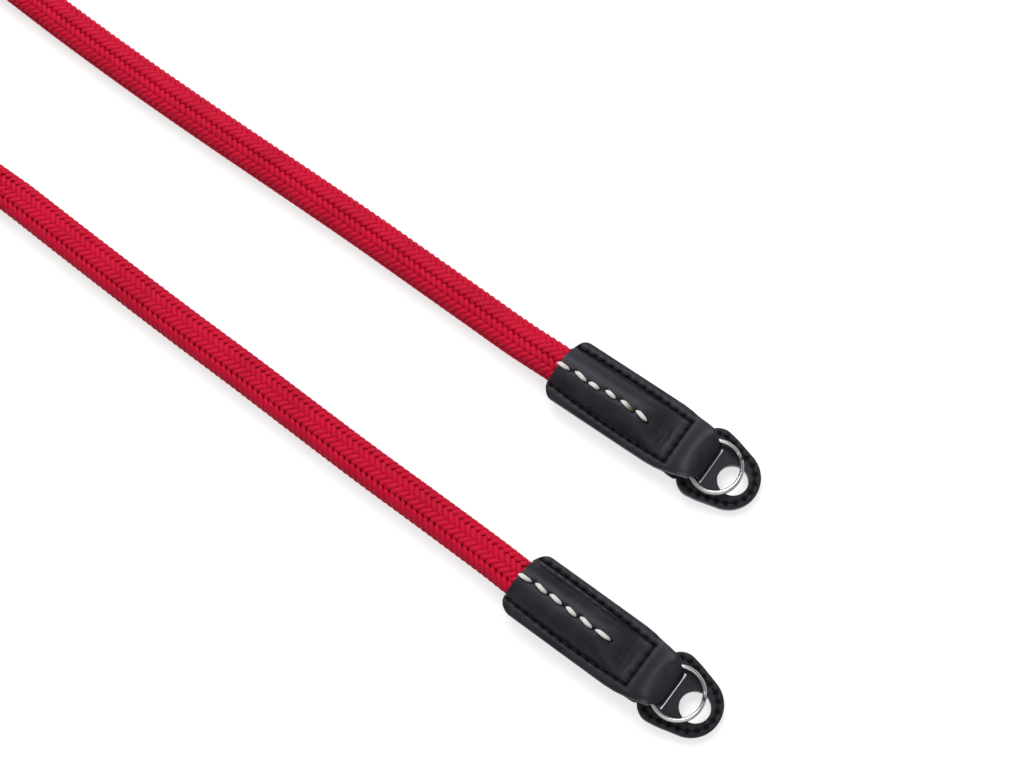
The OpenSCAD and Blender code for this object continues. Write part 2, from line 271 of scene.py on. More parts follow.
@dataclass(frozen=True)
class Braid:
    """Soft yarn in a braid; each float has its own UV, along and around it, and a number called sink, which
    paints shade on the floats' flanks, undersides and tips and all over the core.
    """

    name: str = "red_braid"
    light: Triple = (0.695, 0.004, 0.040)
    # dark is the colour of the painted shade in the braid, and also of its random mottling
    dark: Triple = (0.17, 0.0006, 0.008)
    shaded: float = 0.62
    threads: float = 9.0
    twist: float = 2.2
    fuzz_scale: float = 4200.0
    cloud_scale: float = 90.0
    thread_depth: float = 0.05

    def make(self) -> bpy.types.Material:
        """Makes the material."""
        book = NodeBook(self.name)
        at = book.place()
        thread = book.plies(self.threads, self.twist)
        fuzz = book.noise(at, self.fuzz_scale, 3.0, 0.6)
        cloud = book.noise(at, self.cloud_scale, 2.0, 0.5)
        tone = book.blend(thread * 0.35 + fuzz * 0.45, self.light, tuple(self.shaded * v for v in self.light))
        # painted shade from the sink number: the floats' flanks, undersides and tips, and the core
        tone = book.blend(book.attribute("sink").smooth(0.15, 0.95), tone, self.dark)
        tone = book.blend(cloud.smooth(0.35, 0.75) * 0.18, tone, self.dark)
        normal = book.bump(thread * 0.75 + fuzz * 0.5, self.thread_depth, 0.7)
        return book.finish(
            Base_Color=tone, Roughness=0.62, Normal=normal, Specular_IOR_Level=0.14,
            Sheen_Weight=0.05, Sheen_Roughness=0.5, Sheen_Tint=(1.0, 0.20, 0.32, 1.0),
        )


@dataclass(frozen=True)
class Yarn:
    """Sewing thread; the mesh may hold a number called stain."""

    name: str
    tone: Triple
    shade: Triple
    rough: float
    shine: float
    stain: Triple = (0.13, 0.10, 0.045)
    fibres: float = 6.0
    twist: float = 5.0
    fuzz_scale: float = 5200.0
    fibre_depth: float = 0.03

    def make(self) -> bpy.types.Material:
        """Makes the material."""
        book = NodeBook(self.name)
        fibre = book.plies(self.fibres, self.twist)
        fuzz = book.noise(book.place(), self.fuzz_scale, 3.0, 0.6)
        tone = book.blend(fibre * 0.5 + fuzz * 0.4, self.tone, self.shade)
        return book.finish(
            Base_Color=book.blend(book.attribute("stain"), tone, self.stain), Roughness=self.rough,
            Specular_IOR_Level=self.shine, Normal=book.bump(fibre * 0.6 + fuzz * 0.4, self.fibre_depth, 0.6),
        )


@dataclass(frozen=True)
class Steel:
    """Bright drawn steel wire; the mesh holds a number called groove, which is 1 where two turns meet and
    paints shade into the seam between them.
    """

    name: str = "bright_steel"
    tone: Triple = (0.57, 0.57, 0.575)
    groove_shade: Triple = (0.05, 0.05, 0.052)
    worn: float = 0.92
    wear_scale: float = 500.0

    def make(self) -> bpy.types.Material:
        """Makes the material."""
        book = NodeBook(self.name)
        wear = book.noise(book.place(), self.wear_scale, 3.0, 0.5)
        tone = book.blend(wear.smooth(0.3, 0.8), self.tone, tuple(self.worn * v for v in self.tone))
        # painted shade along the line where the two turns meet
        tone = book.blend(book.attribute("groove"), tone, self.groove_shade)
        return book.finish(Base_Color=tone, Metallic=1.0, Roughness=wear * 0.05 + 0.15)


@dataclass(frozen=True)
class Floor:
    """A white table that looks white to the camera and keeps a soft shadow."""

    name: str = "white_table"
    grey: Triple = (0.48, 0.48, 0.48)
    glow: float = 0.635

    def make(self) -> bpy.types.Material:
        """Makes the material."""
        book = NodeBook(self.name)
        rays = book.node("ShaderNodeLightPath")
        camera, glossy = (Field(book, rays.outputs[name]) for name in ("Is Camera Ray", "Is Glossy Ray"))
        seen = book.maths("MAXIMUM", camera, glossy)
        plain = book.field("ShaderNodeBsdfDiffuse", None, {"Color": (*self.grey, 1.0)})
        glow = book.field("ShaderNodeEmission", None, {"Color": (1, 1, 1, 1), "Strength": seen * self.glow})
        both = book.field("ShaderNodeAddShader", None, {0: plain, 1: glow})
        book.node("ShaderNodeOutputMaterial", None, {0: both})
        return book.material


class Finish(Enum):
    """The finishes of the strap, each made once."""

    LEATHER = Leather()
    EDGE = CutEdge()
    BRAID = Braid()
    BLACK = Yarn("sewing_black", (0.0055, 0.0055, 0.0068), (0.0014, 0.0014, 0.0018), 0.5, 0.16)
    PALE = Yarn("sewing_pale", (0.86, 0.86, 0.83), (0.50, 0.50, 0.48), 0.7, 0.3)
    STEEL = Steel()

    def material(self) -> bpy.types.Material:
        """The finish's material, made on first use."""
        return bpy.data.materials.get(self.value.name) or self.value.make()


# ---------------------------------------------------------------- sums on numbers


def smooth(t: float) -> float:
    """A smooth step from 0 to 1."""
    t = min(1.0, max(0.0, t))
    return t * t * (3.0 - 2.0 * t)


def soft_min(a: float, b: float, k: float) -> float:
    """The lesser of two numbers, rounded over a width k."""
    h = max(k - abs(a - b), 0.0) / k
    return min(a, b) - h * h * k * 0.25


def soft_positive(a: float, k: float) -> float:
    """The number where it is above 0, and nearly 0 below, rounded over k."""
    return 0.5 * (a + math.sqrt(a * a + k * k))


def bell(d: float, width: float) -> float:
    """A bell curve that is 1 at 0."""
    return math.exp(-((d / width) ** 2))


def run_lengths(line: Sequence[Sequence[float]]) -> list[float]:
    """The distance along a line to each of its points."""
    run = [0.0]
    for p, q in zip(line, line[1:]):
        run.append(run[-1] + math.dist(p, q))
    return run


def spot(run: Sequence[float], want: float) -> tuple[int, float]:
    """The step of a line that a distance along it falls in, and the share of that step before it."""
    step = min(max(bisect_left(run, want) - 1, 0), len(run) - 2)
    return step, (want - run[step]) / max(run[step + 1] - run[step], 1e-9)


# ---------------------------------------------------------------- modelling helpers


def only(obj: bpy.types.Object) -> None:
    """Selects one object and makes it active."""
    bpy.ops.object.select_all(action="DESELECT")
    obj.select_set(True)
    bpy.context.view_layer.objects.active = obj


def new_object(name: str, data: Any) -> bpy.types.Object:
    """Adds an object that shows some data."""
    obj = bpy.data.objects.new(name, data)
    bpy.context.collection.objects.link(obj)
    return obj


def primitive(add: Callable[..., Any], name: str, **sizes: Any) -> bpy.types.Object:
    """Adds a primitive with nothing else selected.

    Args:
        add: the operator that adds it.
        name: the object's name.
        **sizes: what the operator is given.

    Returns:
        The new object.
    """
    bpy.ops.object.select_all(action="DESELECT")
    add(**sizes)
    bpy.context.object.name = name
    return bpy.context.object


def shaped_grid(name: str, across: int, along: int, shape: Shape) -> bpy.types.Object:
    """A grid whose points are moved to shape(u, v), with u and v from 0 to 1.

    Args:
        name: the object's name.
        across: steps of u.
        along: steps of v.
        shape: gives each point's place in metres.

    Returns:
        The new object.
    """
    grid = primitive(
        bpy.ops.mesh.primitive_grid_add, name, x_subdivisions=across, y_subdivisions=along, size=1.0
    )
    for vertex in grid.data.vertices:
        vertex.co = shape(vertex.co.x + 0.5, vertex.co.y + 0.5)
    return grid


def apply_modifiers(obj: bpy.types.Object) -> None:
    """Applies an object's modifiers in order."""
    only(obj)
    for modifier in list(obj.modifiers):
        bpy.ops.object.modifier_apply(modifier=modifier.name)


def thicken(obj: bpy.types.Object, wall: float, group: str = "") -> None:
    """Adds a wall to a sheet, half to each side, whose rims take the second finish.

    Args:
        obj: the sheet.
        wall: the wall's thickness in millimetres.
        group: the vertex group that thins it, if any.
    """
    solid = obj.modifiers.new("thickness", "SOLIDIFY")
    solid.vertex_group = group
    solid.thickness = wall * MM
    solid.offset = 0.0
    solid.material_offset_rim = 1


def soften(obj: bpy.types.Object, width: float, segments: int, angle: float) -> None:
    """Adds a bevel to an object's sharp edges.

    Args:
        obj: the object.
        width: the bevel's width in millimetres.
        segments: its number of steps.
        angle: the least angle of a sharp edge, in degrees.
    """
    bevel = obj.modifiers.new("soft_edge", "BEVEL")
    bevel.width = width * MM
    bevel.segments = segments
    bevel.limit_method = "ANGLE"
    bevel.angle_limit = math.radians(angle)


def tidy_faces(obj: bpy.types.Object, merge: float = 0.0, close: bool = False) -> None:
    """Turns an object's faces outwards.

    Args:
        obj: the object.
        merge: points nearer than this, in millimetres, are merged first.
        close: whether an open end is closed too.
    """
    only(obj)
    bpy.ops.object.mode_set(mode="EDIT")
    bpy.ops.mesh.select_all(action="SELECT")
    if merge:
        bpy.ops.mesh.remove_doubles(threshold=merge * MM)
    if close:
        bpy.ops.mesh.select_all(action="DESELECT")
        bpy.ops.mesh.select_non_manifold()
        bpy.ops.mesh.edge_face_add()
        bpy.ops.mesh.select_all(action="SELECT")
    bpy.ops.mesh.normals_make_consistent(inside=False)
    bpy.ops.object.mode_set(mode="OBJECT")


def keep_number(obj: bpy.types.Object, name: str, values: Sequence[float]) -> None:
    """Keeps a number at each of a mesh's points, for its finish to read."""
    number = obj.data.attributes.new(name, "FLOAT", "POINT")
    number.data.foreach_set("value", values)


def join(pieces: Sequence[bpy.types.Object], name: str) -> bpy.types.Object:
    """Joins pieces into one object of a name, and gives it back."""
    bpy.ops.object.select_all(action="DESELECT")
    for piece in pieces:
        piece.select_set(True)
    bpy.context.view_layer.objects.active = pieces[0]
    bpy.ops.object.join()
    pieces[0].name = pieces[0].data.name = name
    return pieces[0]


def dress(obj: bpy.types.Object, body: str, slot: str, node: str, *finishes: Finish) -> None:
    """Gives a piece what it is made of and where it belongs.

    Args:
        obj: the piece.
        body: the body that it rides on.
        slot: not used.
        node: the node that it stands for.
        *finishes: its finishes, the one of its faces first.
    """
    obj.data.materials.clear()
    for finish in finishes:
        obj.data.materials.append(finish.material())
    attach(obj, body)
    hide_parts(node)
    log.info("%s: %d faces", obj.name, len(obj.data.polygons))


# ---------------------------------------------------------------- studio


@dataclass
class Studio:
    """The camera, the table and the lights, each lamp with its side in metres, its power and its place."""

    camera_at: Triple = (104.543, -94.295, 567.787)
    camera_right: Triple = (0.797704, 0.593985, -0.104164)
    camera_up: Triple = (-0.544054, 0.783360, 0.300586)
    lens: float = 80.814
    sensor: float = 36.0
    clip: Pair = (0.01, 20.0)
    table_size: float = 6.0
    table_z: float = -0.00005
    lamps: tuple[tuple[str, float, float, Triple], ...] = (
        ("key", 0.9, 13.0, (-0.55, 0.55, 1.0)),
        ("fill", 1.2, 4.5, (0.5, -0.6, 1.1)),
    )
    surround: float = 0.32

    def place_camera(self) -> None:
        """Adds the camera."""
        data = bpy.data.cameras.new("camera")
        data.lens = self.lens
        data.sensor_width = self.sensor
        data.clip_start, data.clip_end = self.clip
        camera = new_object("camera", data)
        right, up = Vector(self.camera_right), Vector(self.camera_up)
        turn = Matrix((right, up, right.cross(up))).transposed().to_4x4()
        camera.matrix_world = Matrix.Translation(Vector(self.camera_at) * MM) @ turn
        bpy.context.scene.camera = camera

    def lay_table(self) -> None:
        """Adds the white table."""
        at = (0, 0, self.table_z)
        table = primitive(bpy.ops.mesh.primitive_plane_add, "table", size=self.table_size, location=at)
        table.data.materials.append(Floor().make())

    def light(self) -> None:
        """Adds the lamps, which are square and look at the middle, and an even surround."""
        for name, side, power, at in self.lamps:
            data = bpy.data.lights.new(name, "AREA")
            data.size, data.energy = side, power
            lamp = new_object(name, data)
            lamp.location = at
            lamp.rotation_euler = (-Vector(at)).to_track_quat("-Z", "Y").to_euler()
        world = bpy.data.worlds.new("surround")
        bpy.context.scene.world = world
        world.use_nodes = True
        sky = world.node_tree.nodes["Background"]
        sky.inputs["Color"].default_value = (1, 1, 1, 1)
        sky.inputs["Strength"].default_value = self.surround
        bpy.context.scene.view_settings.view_transform = "Standard"


# ---------------------------------------------------------------- frame of one end


@dataclass
class EndFrame:
    """Where one end of the strap is, and the sizes that its pieces share, in millimetres.

    x runs from the tab's mouth to the guard's tip, y across and z up. The guard has its own frame:
    u runs along it from its back edge, v across it, and w up from its underside.
    """

    key: str
    mouth: Pair
    turn_deg: float
    crank_deg: float
    origin: Pair = (-0.354065, 0.2)
    fit: float = 0.05
    cord_flat: float = 6.6
    cord_w: float = 10.4
    strip_t: float = 1.2
    tab_w: float = 18.0
    seam_x: float = 36.9
    corner_r: float = 3.2
    neck_w: float = 10.2
    neck_past_seam: float = 0.4
    underside: float = 0.5
    layer_gap: float = 0.06
    guard_l: float = 19.7
    guard_w: float = 19.8
    guard_layer: float = 1.2
    guard_past_seam: float = 3.7
    guard_rise: float = 0.8
    slot_u: float = 4.25
    slot_w: float = 2.20
    slot_play: float = 0.5
    slot_ease: float = 0.35
    ring_od: float = 14.5
    ring_set: float = 0.65
    wire: float = 1.1
    turn_gap: float = 0.06
    ring_lift: float = math.radians(15)

    def __post_init__(self) -> None:
        """Works out the derived sizes."""
        self.half_in = self.cord_flat / 2
        self.mid_z = self.underside + self.strip_t + self.half_in
        half = self.cord_w / 2 + self.fit
        self.room_r = (half ** 2 + self.half_in ** 2) / (2 * self.half_in)
        self.room_dz = self.room_r - self.half_in
        self.neck_x = self.seam_x + self.neck_past_seam
        self.loop_t = self.strip_t - self.layer_gap / 2
        self.guard_t = 2 * self.guard_layer
        self.guard_x = self.seam_x + self.guard_past_seam
        self.guard_z = self.strip_t + self.guard_rise
        self.tilt = math.asin(self.guard_z / self.guard_l)
        self.leg_x = self.on_guard(self.slot_u, self.guard_t)[0] + self.slot_play + self.strip_t / 2
        self.ring_rc = (self.ring_od - self.wire) / 2
        self.turn_dz = (self.wire + self.turn_gap) / 2
        self.ring_u = self.ring_rc + self.ring_set
        self.ring_w = self.guard_t + self.fit + self.wire / 2 + self.turn_dz
        self.ring_centre = self.on_guard(self.ring_u, self.ring_w)
        place = (MM * (self.mouth[0] - self.origin[0]), MM * (self.mouth[1] - self.origin[1]), 0)
        self.to_world = Matrix.Translation(place) @ Matrix.Rotation(math.radians(self.turn_deg), 4, "Z")

    def on_guard(self, u: float, w: float) -> Pair:
        """The x and z of a point at u along the guard and w above its underside."""
        c, s = math.cos(self.tilt), math.sin(self.tilt)
        return self.guard_x + u * c + w * s, self.guard_z - u * s + w * c

    def settle(self, obj: bpy.types.Object, in_guard: bool = False) -> None:
        """Moves a mesh from the end's frame, or from the guard's, to its place; both are in metres here."""
        if in_guard:
            hang = Matrix.Translation((MM * self.guard_x, 0, MM * self.guard_z))
            obj.data.transform(hang @ Matrix.Rotation(self.tilt, 4, "Y"))
        obj.data.transform(self.to_world)

    def named(self, kind: str) -> str:
        """The name of one of this end's pieces, nodes or bodies."""
        return f"{kind}_{self.key}"


# ---------------------------------------------------------------- cord


@dataclass
class CordRoute:
    """The cord's centreline from end a, through the coil, to end b, in millimetres."""

    a: EndFrame
    width: float = 10.4
    height: float = 8.0
    squeezed: float = 6.5
    squeeze_l: float = 20.0
    coil_r: float = 51.0
    lead_r: float = 40.0
    turns: float = 1.5
    layer_dz: float = 8.8
    climb_from: float = 335.0
    climb_deg: float = 90.0
    fall_from: float = 0.25
    coil_in_y: float = 31.0
    coil_out: Pair = (-194.0, -20.0)
    step: float = 1.0
    run_a: tuple[Pair, ...] = (
        (-42.9, 25.9), (-54.6, 25.8), (-68, 26.1), (-88, 26.5), (-109, 26.9), (-129.5, 27), (-150.5, 27),
        (-172, 27.1), (-194, 27.5), (-216.8, 28.3), (-245, 29.8),
    )
    run_b: tuple[Pair, ...] = (
        (-194, -20), (-175.5, -20.8), (-153, -21.7), (-131.5, -22.4), (-110.5, -22.9),
        (-89.5, -23.6), (-69, -24.2), (-49, -24.5), (-30, -24.9), (-17.3, -25.5),
    )

    def __post_init__(self) -> None:
        """Lays out the whole route."""
        reach = self.coil_r + self.lead_r
        bottom = self.coil_in_y - 2 * self.coil_r
        lead = math.acos(1 - (self.coil_out[1] - bottom) / reach)
        centre = Vector((
            self.coil_out[0] - self.width - reach * math.sin(lead), self.coil_in_y - self.coil_r,
        ))
        into = ((centre.x + self.width, self.coil_in_y), (centre.x, self.coil_in_y))
        out_of = (self.coil_out[0] - self.width, self.coil_out[1])
        first = self._run([self._past(*self.run_a[:2]), *self.run_a, *into], self.run_a[0])
        coil = self._coil(centre, lead)
        second = self._run([out_of, *self.run_b, self._past(*self.run_b[:-3:-1])], self.run_b[-1])
        self._keep([*first, *coil, *second], (len(first), len(first) + len(coil)))

    @staticmethod
    def _past(end: Pair, before: Pair) -> Vector:
        """A point as far past a line's end as the point before it."""
        return 2 * Vector(end) - Vector(before)

    def _run(self, guides: Sequence[Sequence[float]], mouth: Pair) -> list[Vector]:
        """A smooth run of the cord, lower near the tab's mouth, where it is pressed.

        Args:
            guides: points on the table; the run goes from the second to the last but one.
            mouth: where the tab's mouth is.

        Returns:
            The run's points, about a step apart.
        """
        p = [Vector(guide) for guide in guides]
        flat: list[Vector] = []
        for a, b, c, d in zip(p, p[1:], p[2:], p[3:]):
            count = max(2, round((c - b).length / self.step))
            for t in (k / count for k in range(count)):
                bend, twist = 2 * a - 5 * b + 4 * c - d, 3 * b - a - 3 * c + d
                flat.append(0.5 * ((2 * b) + (c - a) * t + bend * t * t + twist * t ** 3))
        flat.append(p[-2])
        mid, low = self.a.mid_z, self.height / 2
        return [
            Vector((*q, mid + (low - mid) * smooth(math.dist(q, mouth) / self.squeeze_l))) for q in flat
        ]

    def _coil(self, centre: Vector, lead: float) -> list[Vector]:
        """The coil, with the short straight before it and the bend and straight after it.

        Args:
            centre: the coil's centre.
            lead: the angle of the bend that leads out of it, in radians.

        Returns:
            The points between the two runs.
        """
        low = self.height / 2
        straight = range(1, int(self.width / self.step))
        made = [Vector((centre.x + self.width - k * self.step, self.coil_in_y, low)) for k in straight]
        start, end = math.pi / 2, math.radians(90 + 360 * self.turns) + lead
        count = round((end - start) * self.coil_r / self.step)
        for k in range(count):
            angle = start + (end - start) * k / count
            rise = smooth((math.degrees(angle) - self.climb_from) / self.climb_deg)
            made.append(self._on_arc(centre, self.coil_r, angle, rise))
        lead_centre = centre + (self.coil_r + self.lead_r) * Vector((math.cos(end), math.sin(end)))
        count = round(lead * self.lead_r / self.step)
        for t in (k / count for k in range(count + 1)):
            fall = 1 - smooth((t - self.fall_from) / (1 - self.fall_from))
            made.append(self._on_arc(lead_centre, self.lead_r, end - math.pi - t * lead, fall))
        for _ in straight:
            made.append(Vector((made[-1].x + self.step, self.coil_out[1], low)))
        return made

    def _on_arc(self, centre: Vector, r: float, angle: float, rise: float) -> Vector:
        """A point of an arc, raised by a share of a layer."""
        z = self.height / 2 + self.layer_dz * rise
        return Vector((centre.x + r * math.cos(angle), centre.y + r * math.sin(angle), z))

    def _keep(self, line: Sequence[Vector], joints: Sequence[int]) -> None:
        """Keeps the route's points, with their distances along it, their sizes and their directions.

        Args:
            line: all the points.
            joints: the numbers of the points where the coil begins and ends.
        """
        shift = Vector((-self.a.origin[0], -self.a.origin[1], 0))
        self.points = [p + shift for p in line]
        self.marks = run_lengths(line)
        self.length = self.marks[-1]
        self.joints = [self.marks[i] for i in joints]
        self.sides: list[Vector] = []
        self.tops: list[Vector] = []
        self.sizes: list[Pair] = []
        for i, mark in enumerate(self.marks):
            ahead = (line[min(i + 1, len(line) - 1)] - line[max(i - 1, 0)]).normalized()
            side = Vector((-ahead.y, ahead.x, 0)).normalized()
            pressed = smooth(min(mark, self.length - mark) / self.squeeze_l)
            self.sides.append(side)
            self.tops.append(ahead.cross(side))
            self.sizes.append((self.width, self.squeezed + (self.height - self.squeezed) * pressed))

    def at(self, mark: float) -> tuple[Vector, Vector, Vector, Pair]:
        """The point, side, top and size at a distance along the cord."""
        i, t = spot(self.marks, min(max(mark, 0.0), self.length))
        side, top = (kept[i].lerp(kept[i + 1], t).normalized() for kept in (self.sides, self.tops))
        width, height = (a + (b - a) * t for a, b in zip(self.sizes[i], self.sizes[i + 1]))
        return self.points[i].lerp(self.points[i + 1], t), side, top, (width, height)


class FloatDetail(Enum):
    """How finely a braid's floats are made: rings along a float and sides around it."""

    SEEN = (8, 8)
    AWAY = (5, 6)


class FloatForm(NamedTuple):
    """How a float lies between its groove end and its plait end."""

    past_groove: float  # how far it runs past its column, as a share of the column's width
    past_plait: float
    groove_sink: float  # how deep its groove end lies, in millimetres
    groove_run: float  # the share of its length over which it rises from there
    plait_from: float  # the share of its length at which it starts to sink again
    plait_run: float


@dataclass
class BraidedCord:
    """The braid: eight columns of slanted floats round a core; their form at end a turns into that at b."""

    route: CordRoute
    pitch: float = 1.85
    slant_deg: float = 47.0
    columns_a: tuple[float, ...] = (3.6, 3.5, 4.0, 4.0, 4.0, 4.0, 3.4, 2.4)
    columns_b: tuple[float, ...] = (2.9, 3.6, 4.0, 4.0, 4.0, 4.0, 3.5, 2.9)
    form_a: FloatForm = FloatForm(0.0, 0.14, 0.75, 0.22, 0.72, 0.28)
    form_b: FloatForm = FloatForm(0.14, 0.06, 0.62, 0.28, 0.78, 0.22)
    roll_a: float = 4.0
    roll_b: float = 3.0
    turn_from: float = 0.35
    turn_run: float = 0.3
    plait_sink: float = 0.62
    float_l: float = 1.16
    float_w: float = 1.60
    float_h: float = 1.40
    float_back: float = 1.3
    slip: float = 0.06
    fatness: Pair = (0.94, 1.05)
    squareness: float = 2.4
    core_inset: float = 1.15
    core_sides: int = 20
    core_step: float = 4.0
    run_in: float = 1.2
    rows_past: float = 12.0
    arc_steps: int = 360
    arc_inset: float = 0.7
    seed: int = 11

    def __post_init__(self) -> None:
        """Works out the columns' bounds and a table of equal arcs round the section."""
        self.random = random.Random(self.seed)
        self.bounds = [
            [sum(columns[:i]) / sum(columns) for i in range(len(columns) + 1)]
            for columns in (self.columns_a, self.columns_b)
        ]
        fine = 2 * self.arc_steps
        inset = self.float_h * self.arc_inset
        width, height = self.route.width - inset, self.route.height - inset
        angles = [math.pi / 2 + math.tau * i / fine for i in range(fine + 1)]
        run = run_lengths([self._oval(angle, width, height) for angle in angles])
        self.arc = []
        for k in range(self.arc_steps + 1):
            step, share = spot(run, run[-1] * k / self.arc_steps)
            self.arc.append(angles[step] + (angles[step + 1] - angles[step]) * share)

    def _oval(self, angle: float, width: float, height: float) -> Pair:
        """A point of a slightly square oval."""
        c, s = math.cos(angle), math.sin(angle)
        k = (abs(c) ** self.squareness + abs(s) ** self.squareness) ** (-1 / self.squareness)
        return width / 2 * k * c, height / 2 * k * s

    def angle(self, share: float, mark: float) -> float:
        """The section angle at a share of the way round, rolled as the cord is at that place."""
        roll = self.roll_a + (self.roll_b - self.roll_a) * mark / self.route.length
        place = (share - roll / 360) % 1.0 * self.arc_steps
        i = int(place)
        return self.arc[i] + (self.arc[min(i + 1, self.arc_steps)] - self.arc[i]) * (place - i)

    def surface(self, mark: float, share: float, sink: float) -> tuple[Vector, Vector]:
        """A place in the braid.

        Args:
            mark: its distance along the cord, which may be past an end.
            share: its share of the way round, from the top.
            sink: how deep it lies below the braid's outer form.

        Returns:
            The place, and the form's outward direction there.
        """
        point, side, top, (width, height) = self.route.at(mark)
        point = point + side.cross(top) * (mark - min(max(mark, 0.0), self.route.length))
        turn = self.angle(share, mark)
        size = (width - self.float_h, height - self.float_h)
        x, y = self._oval(turn, *size)
        next_x, next_y = self._oval(turn + 0.03, *size)
        tangent = Vector((next_x - x, next_y - y)).normalized()
        out = side * tangent.y - top * tangent.x
        return point + side * x + top * y - out * sink, out

    def one_float(self, mark: float, column: int, detail: FloatDetail, mesh: "FloatMesh") -> None:
        """Adds one float.

        Args:
            mark: where its groove end is, along the cord.
            column: which column it is in.
            detail: how finely it is made.
            mesh: the mesh that it goes into.
        """
        rings, around = detail.value
        turned = smooth((mark / self.route.length - self.turn_from) / self.turn_run)
        form = FloatForm(*(a + (b - a) * turned for a, b in zip(self.form_a, self.form_b)))
        left, right, width = (
            a + (b - a) * turned
            for a, b in zip(
                (*self.bounds[0][column:column + 2], self.columns_a[column]),
                (*self.bounds[1][column:column + 2], self.columns_b[column]),
            )
        )
        groove, plait = (left, right) if column % 2 == 0 else (right, left)
        reach = width / math.tan(math.radians(self.slant_deg)) * self.float_l
        first = groove - form.past_groove * (plait - groove)
        last = plait + form.past_plait * (plait - groove)
        slip = self.random.uniform(-self.slip, self.slip)
        fat = self.random.uniform(*self.fatness)
        line, outs = [], []
        for t in (i / (rings - 1) for i in range(rings)):
            sink = form.groove_sink * (1 - smooth(t / form.groove_run))
            sink += self.plait_sink * smooth((t - form.plait_from) / form.plait_run)
            point, out = self.surface(mark - reach * t + slip, first + (last - first) * t, sink)
            line.append(point)
            outs.append(out)
        mesh.sausage(line, outs, self.float_w * fat, self.float_h, around)

    def stretch(self, name: str, start: float, end: float, detail: FloatDetail) -> bpy.types.Object:
        """Makes one stretch of the cord, with its core.

        Args:
            name: the object's name.
            start: where it begins along the cord.
            end: where it ends.
            detail: how finely its floats are made.

        Returns:
            The stretch; where the cord goes into a tab, its floats run on a little.
        """
        mesh = FloatMesh()
        self._core(mesh, start, end)
        low = start - (self.run_in if start == 0.0 else 0.0)
        high = end + (self.run_in if end == self.route.length else 0.0)
        for row in range(-1, int((self.route.length + self.rows_past) / self.pitch)):
            for column in range(len(self.columns_a)):
                mark = (row + (0.5 if column % 2 else 0.0)) * self.pitch
                if low <= mark - self.float_back < high:
                    self.one_float(mark, column, detail, mesh)
        return mesh.build(name)

    def _core(self, mesh: "FloatMesh", start: float, end: float) -> None:
        """Adds the closed core that the floats lie on, from one distance along the cord to another."""
        count = max(2, round((end - start) / self.core_step))
        rings = []
        for i in range(count + 1):
            point, side, top, size = self.route.at(start + (end - start) * i / count)
            width, height = (value - 2 * self.core_inset for value in size)
            oval = [self._oval(math.tau * k / self.core_sides, width, height) for k in range(self.core_sides)]
            rings.append([point + side * x + top * y for x, y in oval])
        mesh.tube(rings)


